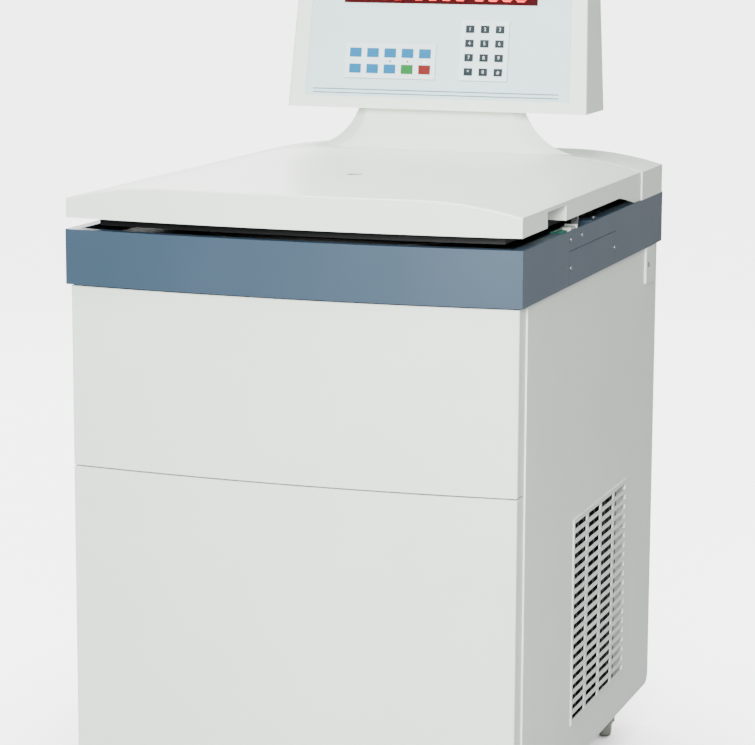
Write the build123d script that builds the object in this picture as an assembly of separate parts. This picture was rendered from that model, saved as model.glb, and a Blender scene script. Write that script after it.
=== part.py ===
from build123d import *
import os
from math import asin, atan2, cos, degrees, pi, radians, sin, sqrt, tan

# Floor-standing refrigerated centrifuge, in millimetres. +Z is up, X runs to the machine's right as its
# user sees it, and the front faces -Y. The origin is on the floor under the middle of the machine's plan.

# Overall body
width = 730.0  # across the collar
side_depth = 851.0  # collar side, from its front corner to its rear face
front_bulge = 22.0  # how far the middle of the bowed front stands ahead of its corners
collar_top = 950.5  # rim of the collar above the floor
collar_height = 85.0
base_height = 86.0  # underside of the chassis above the floor
collar_overhang = 4.0  # collar beyond the side panels, each side
rear_overhang = 19.5  # collar beyond the rear panel

# Sheet metal
sheet = 2.0  # panels and collar
deck_sheet = 4.0  # top deck plate
deck_recess = 15.5  # below the collar's rim
flange = 20.0  # folded edges of the panels and the collar's rim
fit_gap = 0.3  # between pieces that are assembled side by side

# Front panels
front_inset = 6.7  # behind the collar's front
front_side_gap = 2.5  # from the side panel's outer face to the panel's edge
front_return = 34.0  # depth of the panel's side return at its corner
seam_height = 581.3  # seam between the two front panels above the floor
seam_gap = 2.4
collar_shadow_gap = 2.5  # below the collar, above the upper front panel
skirt_height = 80.0  # lower edge of the side panels above the floor
rear_corner_radius = 20.0  # lower rear corner of each side panel
edge_radius = 2.5  # rounding of the front panels' side edges
hem = 15.0  # folded top and bottom edges of the front panels

# Side grille
grille_width = 331.0  # along the depth
grille_height = 340.0
grille_setback = 519.0  # front edge of the grille ahead of the rear panel
grille_bottom = 146.0
grille_sheet = 2.0
slot_columns = 4
slot_rows = 20
slot_length = 72.0
slot_height = 10.0
slot_pitch_y = 82.5
slot_pitch_z = 16.5

# Cover plate near the rear of the right side
side_plate_width = 55.0
side_plate_height = 64.0
side_plate_setback = 31.0  # its rear edge ahead of the rear panel
side_plate_sheet = 4.0
side_plate_corner = 6.0
side_plate_edge = 1.4  # rounding of its rim

# Access plate in the collar's right side
access_setback = 270.5  # its front edge behind the middle of the front
access_length = 284.0
access_height = 54.0
access_seam = 0.8
access_lap = 8.0
screw_head_radius = 4.0
screw_head_height = 2.0

# Chassis
rail = 40.0  # square tube
tray_sheet = 3.0

# Chamber
chamber_setback = 316.5  # rotor axis behind the middle of the front
bowl_radius = 215.0  # inside
bowl_depth = 250.0
bowl_wall = 2.0
bowl_corner = 25.0
bowl_rim = 18.0  # rim beyond the wall
bowl_shaft_hole = 20.0
coil_height = 12.0
coil_depth = 9.0
coil_turns = 5
coil_pitch = 36.0
foam_thickness = 34.0
foam_floor = 33.0
guard_gap = 2.0
guard_wall = 12.0
guard_top_gap = 9.0  # below the deck
chamber_plate_sheet = 10.0
chamber_plate_edge = 14.0  # inside the outer faces of the rails it lies on
shaft_opening = 45.0
pipe_radius = 5.0
pipe_hole = 8.0
pipe_spread = 60.0  # each side of the middle where the lines leave the chamber

# Drive
mount_height = 28.0
mount_radius = 18.0
mount_circle = 105.0
motor_flange_radius = 130.0
motor_flange_thickness = 12.0
motor_radius = 95.0
motor_height = 215.0
motor_bore_depth = 80.0
shaft_radius = 12.0
running = 0.05  # radial clearance of a shaft in its bore
rotor_floor_gap = 18.0
rotor_radius = 170.0
rotor_band = 65.0
rotor_height = 170.0
rotor_top_radius = 128.0
rotor_bore_radius = 33.0
rotor_bore_circle = 85.0
rotor_bore_depth = 125.0
rotor_tilt = 23.0
rotor_places = 6
rotor_hub_radius = 32.0
knob_radius = 24.0
knob_height = 30.0
knob_flutes = 10

# Cooling
compressor_x = -130.0
compressor_setback = 167.0  # ahead of the rear panel
compressor_radius = 95.0
compressor_height = 210.0
compressor_foot = 21.0
foot_spread = 70.0
foot_radius = 11.0
condenser_depth = 34.0
condenser_gap = 14.0  # from the side panel
condenser_width = 318.0
condenser_height = 330.0
fin_count = 9
shroud_thickness = 16.0
fan_radius = 142.0
fan_tip_gap = 6.0
fan_hub_radius = 30.0
fan_hub_length = 26.0
fan_blades = 5
fan_pitch = 26.0
fan_chord = 56.0
fan_blade_thick = 2.5
fan_setback = 44.0  # fan motor behind the shroud plate
fan_motor_radius = 38.0
fan_motor_length = 55.0
fan_shaft_radius = 5.0
drive_box_width = 110.0
drive_box_depth = 220.0
drive_box_height = 270.0
drive_fins = 8

# Lid
lid_gap = 18.0  # between the collar's rim and the lid's skirt
lid_inset = 2.0  # lid side behind the collar's side
lid_wall = 3.0
crown_rise = 69.5  # flat middle of the lid's top above the collar
crown_flat = 205.0  # half width of that flat
crown_drop = 21.5  # fall of the crowned sides from the flat to the lid's edge
lid_back_setback = 152.0  # rear edge of the lid ahead of the machine's back
ramp_setback = 38.5  # low end of the skirt's ramp ahead of the lid's rear edge
ramp_length = 95.0  # along which the side skirt falls towards the collar
ramp_gap = 0.7  # above the collar's rim behind the ramp
lid_end_wall = 21.0  # rear wall of the lid ahead of its rear edge
pocket_setback = 154.5  # front edge of the grip pocket behind the middle of the front
pocket_length = 104.0
pocket_height = 24.0
pocket_depth = 33.5
liner_side_gap = 38.0  # inside the lid's side
liner_front = 45.0  # behind the lid's front
liner_margin = 15.0  # behind the chamber's rim
liner_sheet = 3.0
liner_gap = 3.0  # above the collar's rim
armour_sheet = 8.0
armour_edge = 7.0  # inside the liner's side
armour_hinge_gap = 52.0  # ahead of the hinge
armour_drop = 22.0  # below the lid's flat top
window_radius = 13.5
lid_post_x = 190.0  # bosses under the lid's top that stand on the armour plate
lid_post_y = 200.0
lid_post_radius = 9.0

# Lid hinge
hinge_setback = 12.5  # behind the lid's rear edge
hinge_drop = 14.0  # below the lid's flat top
hinge_inset = 110.0  # inside the gas springs
hinge_pin_radius = 5.0
knuckle_radius = 9.0
arm_thickness = 12.0
arm_depth = 14.0
arm_drop = 30.0
arm_reach = 45.0
cheek_thickness = 5.0
cheek_foot = 46.0
lid_travel = 65.0  # opening angle

# Gas springs
spring_side_gap = 19.0  # inside the side rails
spring_low_ahead = 37.0  # lower pivot ahead of the lid hinge
spring_low_drop = 130.5  # and below the collar's rim
spring_top_ahead = 70.0  # upper pivot ahead of the lid hinge
spring_top_drop = 14.0  # and below the armour plate's underside
spring_radius = 9.0
spring_rod_radius = 4.0
spring_eye = 12.0
spring_pin_radius = 4.0
spring_grip = 24.0  # barrel beyond the rod's stroke
lug_sheet = 5.0

# Rear cover, neck and console
cover_gap = 5.0  # behind the lid
cover_wall = 3.0
cover_round = 8.0
neck_setback = 17.5  # behind the cover's front
neck_bevel = 14.0
neck_depth = 74.0
neck_top_half = 132.0
neck_foot_half = 186.0
neck_rim_top_half = 150.0
neck_rim_foot_half = 232.0
console_rise = 71.0  # above the lid's flat top
console_reach = 26.5  # ahead of the neck
console_setback = 31.5  # rear face ahead of the machine's back
console_height = 277.0
console_half_low = 268.0
console_half_high = 255.5
console_lean = 8.5
console_corner = 3.0
console_rear_corner = 12.0
bezel_depth = 28.0
console_wall = 3.0
console_vents = 8
console_vent_rise = 190.0  # lower end above the console's underside
console_vent_height = 50.0
console_vent_width = 8.0
console_vent_pitch = 26.0
overlay_low = 20.0
overlay_height = 242.0
overlay_half_low = 237.5
overlay_half_high = 229.0
overlay_thick = 1.5
led_low = 181.2
led_height = 46.0
led_half = 173.0
led_thick = 2.2
film_thick = 0.5
key_thick = 0.8
key_width = 21.0
key_height = 15.3
key_pitch_x = 31.4
key_pitch_y = 27.5
key_left = -158.2
key_low = 60.5
pad_margin = 8.5
digit_width = 15.0
digit_height = 12.4
digit_pitch_x = 26.6
digit_pitch_y = 24.2
digit_left = 49.0
digit_low = 60.6

# Lock
lock_inset = 18.0  # inside the collar's side
lock_drop = 4.5  # bolt below the collar's rim
bolt_radius = 2.5
bolt_gap = 6.0  # drawn-back bolt ahead of the striker
bolt_travel = 16.0  # through the striker when the lid locks
bolt_tail = 28.0  # behind the part that travels
solenoid_width = 17.0
solenoid_length = 30.0
solenoid_gap = 15.0  # ahead of the drawn-back bolt's tip
striker_setback = 210.0  # behind the pocket's front edge
striker_thick = 4.0
striker_width = 11.0
board_gap = 6.0  # ahead of the solenoid
board_length = 62.0
board_thick = 10.0
board_height = 17.0
keeper_setback = 58.0  # front of the slotted keeper behind the striker
keeper_length = 44.0
keeper_half = 15.0
keeper_sheet = 3.0
keeper_slot_length = 20.0
keeper_slot_width = 7.0

# Rear services
vent_rows = 12
vent_length = 150.0
vent_height = 8.0
vent_pitch = 22.0
vent_inset = 119.0  # outer column's middle inside the frame's right side
vent_pitch_x = 180.0
switch_inset = 109.0  # inside the frame's left side
switch_z = 220.0
switch_width = 26.0
switch_height = 36.0
switch_tilt = 14.0
rocker_tip = 12.5  # ends of the rocker ahead of its axle
rocker_axle = 8.0  # axle behind the rear panel's face
rocker_gap = 0.5
socket_height = 30.0

# Casters
caster_inset = 44.0  # kingpin inside the frame's side
caster_front_gap = 41.8  # front kingpins behind the frame's front
caster_rear_gap = 109.0  # rear kingpins ahead of the rear panel
wheel_radius = 31.5
wheel_width = 20.0
wheel_round = 4.0
axle_radius = 4.0
caster_trail = 22.0
caster_turn = 20.0
caster_plate = 60.0
caster_plate_sheet = 3.0
race_radius = 22.0
race_height = 6.0
kingpin_radius = 5.0
kingpin_head = 9.0
fork_sheet = 3.0
fork_gap = 1.0
fork_top_half = 20.0
fork_axle_half = 9.0

# Places worked out from the sizes above
half_width = width / 2
front_radius = (half_width**2 + front_bulge**2) / (2 * front_bulge)
front_tip = -(side_depth + front_bulge) / 2
back_face = (side_depth + front_bulge) / 2
front_centre = front_tip + front_radius
collar_bottom = collar_top - collar_height
side_half = half_width - collar_overhang
front_half = side_half - front_side_gap
rear_plane = back_face - rear_overhang
frame_half = side_half - sheet
flange_plane = front_tip + front_bulge + front_inset + front_return
frame_front = flange_plane + sheet
frame_back = rear_plane - 2 * sheet
deck_top = collar_top - deck_recess
deck_under = deck_top - deck_sheet
grille_front = rear_plane - grille_setback
side_plate_rear = rear_plane - side_plate_setback
access_front = front_tip + access_setback

chamber_y = front_tip + chamber_setback
bowl_outer = bowl_radius + bowl_wall
bowl_bottom = deck_top - bowl_depth
foam_inner = bowl_outer + coil_depth + fit_gap
foam_outer = foam_inner + foam_thickness
guard_inner = foam_outer + guard_gap
guard_outer = guard_inner + guard_wall
chamber_floor = bowl_bottom - bowl_wall - foam_floor
chamber_under = chamber_floor - chamber_plate_sheet
chamber_plate_half = frame_half - chamber_plate_edge
compressor_y = rear_plane - compressor_setback

lid_half = half_width - lid_inset
lid_back = back_face - lid_back_setback
skirt_bottom = collar_top + lid_gap
crown_top = collar_top + crown_rise
crown_radius = ((lid_half - crown_flat) ** 2 + crown_drop**2) / (2 * crown_drop)
ramp_end = lid_back - ramp_setback
ramp_start = ramp_end - ramp_length
pocket_front = front_tip + pocket_setback
hinge_y = lid_back + hinge_setback
hinge_z = crown_top - hinge_drop
liner_half = lid_half - liner_side_gap
liner_back = chamber_y + bowl_outer + bowl_rim + liner_margin
liner_bottom = collar_top + liner_gap
armour_half = liner_half - armour_edge
armour_back = hinge_y - armour_hinge_gap
armour_top = crown_top - armour_drop
armour_under = armour_top - armour_sheet

spring_x = frame_half - rail - spring_side_gap
hinge_x = spring_x - hinge_inset
spring_low_y = hinge_y - spring_low_ahead
spring_low_z = collar_top - spring_low_drop
spring_top_y = hinge_y - spring_top_ahead
spring_top_z = armour_under - spring_top_drop

cover_front = lid_back + cover_gap
neck_front = cover_front + neck_setback
console_bottom = crown_top + console_rise
console_front = neck_front - console_reach
console_back = back_face - console_setback

lock_x = half_width - lock_inset
lock_z = collar_top - lock_drop
striker_y = pocket_front + striker_setback
bolt_rest = striker_y - striker_thick / 2 - bolt_gap
bolt_length = bolt_travel + bolt_tail
solenoid_front = bolt_rest - solenoid_gap - solenoid_length
board_front = solenoid_front - board_gap - board_length
keeper_front = striker_y + keeper_setback
keeper_back = keeper_front + keeper_length

switch_x = -frame_half + switch_inset
vent_x = frame_half - vent_inset
caster_x = frame_half - caster_inset
caster_front = frame_front + caster_front_gap
caster_rear = rear_plane - caster_rear_gap
os.makedirs("parts", exist_ok=True)


def save(shape, name):
    """Write one piece under its own name."""
    shape.label = name
    export_step(shape, f"parts/{name}.step")


def block(x0, x1, y0, y1, z0, z1):
    """Box between two corners."""
    box = Box(abs(x1 - x0), abs(y1 - y0), abs(z1 - z0))
    return Pos((x0 + x1) / 2, (y0 + y1) / 2, (z0 + z1) / 2) * box


def round_bar(radius, start, end):
    """Cylinder from one point to another."""
    axis = Vector(*end) - Vector(*start)
    frame = Plane(origin=start, z_dir=axis)
    return frame.location * Cylinder(radius, axis.length, align=(Align.CENTER, Align.CENTER, Align.MIN))


def turned(points, y=0.0, x=0.0):
    """Solid of revolution about a vertical axis from radius and height points."""
    outline = make_face(Polyline(*[(r, 0, z) for r, z in points], close=True))
    return Pos(x, y, 0) * revolve(outline, Axis.Z)


def side_profile(points, x0, x1):
    """Plate or prism with a side outline of depth and height points, from x0 to x1."""
    face = make_face(Polyline(*[(0, y, z) for y, z in points], close=True))
    return Pos(x0, 0, 0) * extrude(face, x1 - x0, dir=(1, 0, 0))


def bowed_block(half, inset, y_back, z0, z1):
    """Block whose front follows the machine's bowed front, at an inset behind it."""
    radius = front_radius - inset
    y_side = front_centre - sqrt(radius**2 - half**2)
    front = ThreePointArc((-half, y_side), (0, front_centre - radius), (half, y_side))
    rest = Polyline((half, y_side), (half, y_back), (-half, y_back), (-half, y_side))
    return Pos(0, 0, z0) * extrude(make_face([front, rest]), z1 - z0)


def crowned_block(half, lower, z0, y0, y1):
    """Block with the lid's crowned top, lowered by a wall, from y0 to y1."""
    top = crown_top - lower
    reach = half - crown_flat
    radius = crown_radius - lower
    sweep = asin(reach / radius)
    edge = top - radius * (1 - cos(sweep))
    middle = (crown_flat + radius * sin(sweep / 2), top - radius * (1 - cos(sweep / 2)))
    right = ThreePointArc((crown_flat, 0, top), (middle[0], 0, middle[1]), (half, 0, edge))
    left = ThreePointArc((-half, 0, edge), (-middle[0], 0, middle[1]), (-crown_flat, 0, top))
    under = Polyline((half, 0, edge), (half, 0, z0), (-half, 0, z0), (-half, 0, edge))
    flat = Line((-crown_flat, 0, top), (crown_flat, 0, top))
    return Pos(0, y0, 0) * extrude(make_face([flat, right, under, left]), y1 - y0, dir=(0, 1, 0))


def both_sides(shape):
    """The shape and its mirror image across the machine's middle."""
    return [shape, mirror(shape, Plane.YZ)]


# Chassis: welded square tube with a floor tray
def make_chassis():
    x_in = frame_half - rail
    rail_top = base_height + rail
    body = block(-frame_half, frame_half, frame_front, frame_back, base_height, base_height + tray_sheet)
    for y0 in (frame_front, frame_back - rail):
        body += block(-frame_half, frame_half, y0, y0 + rail, base_height, rail_top)
        for x0 in (-frame_half, x_in):
            body += block(x0, x0 + rail, y0, y0 + rail, base_height, deck_under)
    for x0 in (-frame_half, x_in):
        for top in (rail_top, chamber_under, deck_under):
            body += block(x0, x0 + rail, frame_front, frame_back, top - rail, top)
    for sign in (-1, 1):
        tab_in = sign * x_in
        tab_out = sign * (x_in + lug_sheet)
        reach = spring_eye + 3
        body += block(
            tab_in,
            tab_out,
            spring_low_y - reach,
            spring_low_y + reach,
            spring_low_z - reach,
            deck_under - rail,
        )
        pin_end = sign * (spring_x - spring_eye / 2)
        body += round_bar(
            spring_pin_radius, (tab_in, spring_low_y, spring_low_z), (pin_end, spring_low_y, spring_low_z)
        )
    return body


# Side panels: pans with folded front and rear flanges
def make_side_panel(with_grille):
    z1 = collar_bottom + flange
    skin = block(frame_half, side_half, flange_plane, rear_plane, skirt_height, z1)
    corner = skin.edges().filter_by(Axis.X).sort_by(lambda e: e.center().Y - e.center().Z)[-1]
    skin = fillet(corner, rear_corner_radius)
    flange_low = skirt_height + rear_corner_radius
    skin += block(side_half - flange, side_half, flange_plane, flange_plane + sheet, skirt_height, z1)
    skin += block(
        side_half - flange, side_half, frame_back, frame_back + sheet, flange_low, z1
    )
    if with_grille:
        margin = 7.0
        skin -= block(
            frame_half - 1,
            side_half + 1,
            grille_front + margin,
            grille_front + grille_width - margin,
            grille_bottom + margin,
            grille_bottom + grille_height - margin,
        )
    return skin


def make_side_grille():
    """Slotted plate screwed over the right panel's window."""
    y1 = grille_front + grille_width
    z1 = grille_bottom + grille_height
    plate = block(side_half, side_half + grille_sheet, grille_front, y1, grille_bottom, z1)
    rim = plate.faces().sort_by(Axis.X)[-1].edges()
    plate = chamfer(rim, grille_sheet * 0.6)
    y_first = (grille_front + y1) / 2 - (slot_columns - 1) * slot_pitch_y / 2
    z_first = (grille_bottom + z1) / 2 - (slot_rows - 1) * slot_pitch_z / 2
    slots = []
    for column in range(slot_columns):
        for row in range(slot_rows):
            y = y_first + column * slot_pitch_y
            z = z_first + row * slot_pitch_z
            half_l = slot_length / 2
            half_h = slot_height / 2
            slots.append(
                block(
                    side_half - 1,
                    side_half + grille_sheet + 1,
                    y - half_l,
                    y + half_l,
                    z - half_h,
                    z + half_h,
                )
            )
    return plate - slots


def make_side_plate():
    z1 = collar_bottom - fit_gap
    y1 = side_plate_rear
    plate = block(
        side_half, side_half + side_plate_sheet, y1 - side_plate_width, y1, z1 - side_plate_height, z1
    )
    corners = plate.edges().filter_by(Axis.X).sort_by(Axis.Z)[:2]
    plate = fillet(corners, side_plate_corner)
    rim = plate.faces().sort_by(Axis.X)[-1].edges()
    return fillet(rim, side_plate_edge)


# Rear panel with two louvred fields and the opening for the mains module
def make_rear_panel():
    plate = block(
        -frame_half, frame_half, rear_plane - sheet, rear_plane, skirt_height, collar_bottom + flange
    )
    vents = []
    for column_x in (vent_x - vent_pitch_x, vent_x):
        for row in range(vent_rows):
            z = grille_bottom + vent_height + row * vent_pitch
            x0 = column_x - vent_length / 2
            vents.append(block(x0, x0 + vent_length, rear_plane - 5, rear_plane + 5, z, z + vent_height))
    w = switch_width / 2 + 4
    h = switch_height / 2
    low = switch_z - h - socket_height - 12
    plate -= vents
    return plate - block(
        switch_x - w, switch_x + w, rear_plane - 5, rear_plane + 5, low, switch_z + h + 4
    )


def make_power_inlet():
    """Snap-in mains module: the switch's opening over a recessed inlet with its three blades."""
    w = switch_width / 2
    h = switch_height / 2
    y1 = rear_plane + 3
    low = switch_z - h - socket_height - 8
    body = block(switch_x - w - 8, switch_x + w + 8, rear_plane, y1, low - 8, switch_z + h + 8)
    body = fillet(body.edges().filter_by(Axis.Y), 4.0)
    neck = w + 4 - fit_gap
    body += block(
        switch_x - neck, switch_x + neck, rear_plane - 34, y1, low - 4 + fit_gap, switch_z + h + 4 - fit_gap
    )
    body -= block(switch_x - w, switch_x + w, rear_plane - 18, y1 + 1, switch_z - h, switch_z + h)
    axle_y = rear_plane - rocker_axle
    body += round_bar(2.0, (switch_x - w, axle_y, switch_z), (switch_x + w, axle_y, switch_z))
    body -= block(switch_x - w, switch_x + w, rear_plane - 22, y1 + 1, low, low + socket_height)
    for dx, dz in ((-8, 6), (8, 6), (0, -6)):
        x = switch_x + dx
        z = low + socket_height / 2 + dz
        body += block(x - 1, x + 1, rear_plane - 23, rear_plane - 5, z - 4, z + 4)
    return body


def make_switch_rocker():
    """Rocker on the module's axle, its user side a shallow V that rests tilted to one end."""
    half_tilt = radians(switch_tilt / 2)
    w = switch_width / 2 - rocker_gap
    h = (switch_height / 2 - rocker_gap - rocker_tip * sin(half_tilt)) / cos(half_tilt)
    waist = h / 3
    outline = [(-6, -waist), (7, -h), (rocker_tip, -h), (rocker_tip - 3, 0), (rocker_tip, h), (7, h)]
    body = side_profile(outline + [(-6, waist)], -w, w)
    body -= round_bar(2.0 + running, (-w - 1, 0, 0), (w + 1, 0, 0))
    return Pos(switch_x, rear_plane - rocker_axle, switch_z) * Rot(-switch_tilt / 2, 0, 0) * body


# Front panels: bowed pans, open at the back
def make_front_panel(z0, z1):
    skin = bowed_block(front_half, front_inset, flange_plane, z0, z1)
    corners = skin.edges().filter_by(Axis.Z).sort_by(Axis.Y)[:2]
    skin = fillet(corners, edge_radius)
    hollow = bowed_block(
        front_half - sheet, front_inset + sheet, flange_plane + 10, z0 + sheet, z1 - sheet
    )
    open_back = bowed_block(front_half - hem, front_inset + hem, flange_plane + 10, z0 - 1, z1 + 1)
    return skin - hollow - open_back


# Collar band with its rim folded inwards
def make_collar():
    ring = bowed_block(half_width, 0, back_face, collar_bottom, collar_top)
    upright = ring.edges().filter_by(Axis.Z)
    ring = fillet(upright, 1.5)
    ring -= bowed_block(
        half_width - sheet, sheet, back_face - sheet, collar_bottom - 1, collar_top - sheet
    )
    ring -= bowed_block(half_width - flange, flange, back_face - flange, collar_bottom, collar_top + 1)
    ring -= block(
        half_width - flange - 5,
        half_width - sheet,
        board_front - 4,
        keeper_back,
        collar_top - sheet - 1,
        collar_top + 1,
    )
    y1 = access_front + access_length
    ring -= block(
        half_width - sheet - 1,
        half_width + 1,
        access_front,
        y1,
        collar_bottom - 1,
        collar_bottom + access_height,
    )
    return ring


def make_access_plate():
    """Plate that fills the opening in the collar's right side, with a lap behind its edges."""
    y0 = access_front + access_seam
    y1 = access_front + access_length - access_seam
    z1 = collar_bottom + access_height - access_seam
    plate = block(half_width - sheet, half_width, y0, y1, collar_bottom, z1)
    back = half_width - sheet
    lap = block(back - 1.2, back, y0 - access_lap, y1 + access_lap, collar_bottom, z1 + access_lap)
    return plate + lap


def make_screws():
    """Pan-head screws of the collar, the access plate and the side plate."""
    y0 = access_front
    y1 = access_front + access_length
    z_plate = collar_bottom + access_height / 2
    z_top = collar_top - 14
    outer = half_width
    places = [
        (outer, y0 + 10, z_plate),
        (outer, y1 - 8, z_plate),
        (outer, y0 + 9, z_top),
        (outer, y0 + 74, z_top),
    ]
    plate_y = side_plate_rear - side_plate_width + 10
    places.append((side_half + side_plate_sheet, plate_y, collar_bottom - 30))
    heads = []
    for x, y, z in places:
        head = round_bar(screw_head_radius, (x, y, z), (x + screw_head_height, y, z))
        rim = head.faces().sort_by(Axis.X)[-1].edges()
        head = fillet(rim, screw_head_height * 0.6)
        slot_depth = 0.8
        head -= block(
            x + screw_head_height - slot_depth, x + screw_head_height + 1, y - 3, y + 3, z - 0.5, z + 0.5
        )
        heads.append(head)
    return heads


# Deck and chamber
def make_deck():
    inner = half_width - sheet - fit_gap
    plate = bowed_block(inner, sheet + fit_gap, back_face - sheet - fit_gap, deck_under, deck_top)
    plate -= Pos(0, chamber_y, 0) * Cylinder(bowl_outer + 0.5, 4 * deck_top)
    for sign in (-1, 1):
        y0 = spring_top_y - 2
        y1 = spring_low_y + 6
        plate -= block(
            sign * (spring_x - spring_radius - 5),
            sign * (spring_x + spring_radius + 5),
            y0,
            y1,
            deck_under - 1,
            deck_top + 1,
        )
    return plate


def make_bowl():
    outer = Pos(0, chamber_y, bowl_bottom - bowl_wall) * Cylinder(
        bowl_outer, bowl_depth + bowl_wall, align=(Align.CENTER, Align.CENTER, Align.MIN)
    )
    outer = fillet(outer.edges().sort_by(Axis.Z)[0], bowl_corner + bowl_wall)
    inner = Pos(0, chamber_y, bowl_bottom) * Cylinder(
        bowl_radius, bowl_depth + 10, align=(Align.CENTER, Align.CENTER, Align.MIN)
    )
    inner = fillet(inner.edges().sort_by(Axis.Z)[0], bowl_corner)
    rim = turned(
        [
            (bowl_radius, deck_top),
            (bowl_outer + bowl_rim, deck_top),
            (bowl_outer + bowl_rim, deck_top + bowl_wall),
            (bowl_radius, deck_top + bowl_wall),
        ],
        chamber_y,
    )
    hole = Pos(0, chamber_y, bowl_bottom) * Cylinder(bowl_shaft_hole, 4 * bowl_wall)
    return outer + rim - inner - hole


def make_chamber_gasket():
    r0 = bowl_outer + 4
    r1 = bowl_outer + bowl_rim
    z0 = deck_top + bowl_wall
    z1 = liner_bottom - fit_gap
    middle = (r0 + r1) / 2
    return turned(
        [(r0, z0), (r1, z0), (r1, z0 + 6), (middle + 3, z1), (middle - 3, z1), (r0, z0 + 6)], chamber_y
    )


def make_evaporator():
    """Flat evaporator turns brazed round the bowl."""
    inner = bowl_outer
    points = [(inner, bowl_bottom + 18)]
    skin = inner + 1.2
    for turn in range(coil_turns):
        z = bowl_bottom + 24 + turn * coil_pitch
        points += [
            (skin, z),
            (inner + coil_depth, z + coil_height * 0.25),
            (inner + coil_depth, z + coil_height * 0.75),
            (skin, z + coil_height),
        ]
    points.append((inner, bowl_bottom + 30 + coil_turns * coil_pitch))
    return turned(points, chamber_y)


def make_copper_lines():
    """Suction, liquid and discharge lines, each one tube with bent corners."""
    exit_y = chamber_y + foam_inner + foam_thickness / 2
    stub_top = base_height + tray_sheet + compressor_foot + compressor_height
    line_top = chamber_under - 20
    suction = [
        (-pipe_spread, exit_y, chamber_floor + foam_floor / 2),
        (-pipe_spread, exit_y, line_top - 50),
        (compressor_x, compressor_y, line_top - 110),
        (compressor_x, compressor_y, stub_top),
    ]
    x0, x1, y0, condenser_rear, z0, condenser_top = condenser_box()
    condenser_x = (x0 + x1) / 2
    liquid = [
        (pipe_spread, exit_y, chamber_floor + foam_floor / 2),
        (pipe_spread, exit_y, line_top - 40),
        (condenser_x, exit_y + 20, condenser_top + 60),
        (condenser_x, exit_y + 20, condenser_top),
    ]
    port_z = grille_bottom + 90
    discharge = [
        (compressor_x + compressor_radius, compressor_y, port_z),
        (compressor_x + compressor_radius + 80, compressor_y, port_z),
        (condenser_x - 40, condenser_rear + 60, port_z + 20),
        (condenser_x, condenser_rear + 60, port_z + 40),
        (condenser_x, condenser_rear, port_z + 40),
    ]
    lines = []
    for route in (suction, liquid, discharge):
        path = FilletPolyline(*route, radius=18)
        lines.append(sweep(Plane(origin=path @ 0, z_dir=path % 0) * Circle(pipe_radius), path=path))
    return lines


def make_foam():
    foam = turned(
        [
            (foam_inner, deck_under - fit_gap),
            (foam_inner, bowl_bottom - bowl_wall - fit_gap),
            (bowl_shaft_hole + 5, bowl_bottom - bowl_wall - fit_gap),
            (bowl_shaft_hole + 5, chamber_floor),
            (foam_outer, chamber_floor),
            (foam_outer, deck_under - fit_gap),
        ],
        chamber_y,
    )
    exit_y = chamber_y + foam_inner + foam_thickness / 2
    for x in (-pipe_spread, pipe_spread):
        foam -= round_bar(
            pipe_hole, (x, exit_y, chamber_floor - 1), (x, exit_y, chamber_floor + foam_floor / 2)
        )
    return foam


def make_guard_ring():
    z1 = deck_under - guard_top_gap
    return turned(
        [
            (guard_inner, chamber_floor),
            (guard_outer, chamber_floor),
            (guard_outer, z1),
            (guard_inner, z1),
        ], chamber_y
    )


def make_chamber_plate():
    y0 = chamber_y - guard_outer - 2
    y1 = chamber_y + guard_outer + 14
    plate = block(-chamber_plate_half, chamber_plate_half, y0, y1, chamber_under, chamber_floor)
    post = block(-width, width, y0 - 1, frame_front + rail + 1, chamber_under - 1, chamber_floor + 1)
    inner = frame_half - rail - 1
    plate -= post - block(
        -inner, inner, y0 - 2, frame_front + rail + 2, chamber_under - 2, chamber_floor + 2
    )
    plate -= Pos(0, chamber_y, chamber_floor) * Cylinder(shaft_opening, 4 * chamber_plate_sheet)
    exit_y = chamber_y + foam_inner + foam_thickness / 2
    for x in (-pipe_spread, pipe_spread):
        plate -= round_bar(pipe_hole, (x, exit_y, chamber_under - 1), (x, exit_y, chamber_floor + 1))
    return plate


# Drive
def make_rubber_mounts():
    """Motor mounts under the chamber plate and feet under the compressor."""
    mounts = []
    for k in range(4):
        angle = radians(45 + 90 * k)
        x = mount_circle * cos(angle)
        y = chamber_y + mount_circle * sin(angle)
        waist = mount_radius - 4
        mounts.append(
            turned(
                [
                    (0, chamber_under - mount_height),
                    (mount_radius, chamber_under - mount_height),
                    (waist, chamber_under - mount_height / 2),
                    (mount_radius, chamber_under),
                    (0, chamber_under),
                ],
                y,
                x,
            )
        )
    floor = base_height + tray_sheet
    for dx in (-foot_spread, foot_spread):
        for dy in (-foot_spread, foot_spread):
            x = compressor_x + dx
            y = compressor_y + dy
            mounts.append(round_bar(foot_radius, (x, y, floor), (x, y, floor + compressor_foot)))
    return mounts


def make_motor():
    top = chamber_under - mount_height
    bottom = top - motor_flange_thickness - motor_height
    r = motor_radius
    body = turned(
        [
            (0, bottom),
            (r - 20, bottom),
            (r, bottom + 14),
            (r, bottom + 60),
            (r - 5, bottom + 64),
            (r - 5, top - motor_flange_thickness - 30),
            (r, top - motor_flange_thickness - 26),
            (r, top - motor_flange_thickness),
            (motor_flange_radius, top - motor_flange_thickness),
            (motor_flange_radius, top),
            (0, top),
        ],
        chamber_y,
    )
    bore = Pos(0, chamber_y, top - motor_bore_depth) * Cylinder(
        shaft_radius + running, motor_bore_depth + 1, align=(Align.CENTER, Align.CENTER, Align.MIN)
    )
    return body - bore


def rotor_floor():
    """Height of the rotor's underside."""
    return bowl_bottom + rotor_floor_gap


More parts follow.
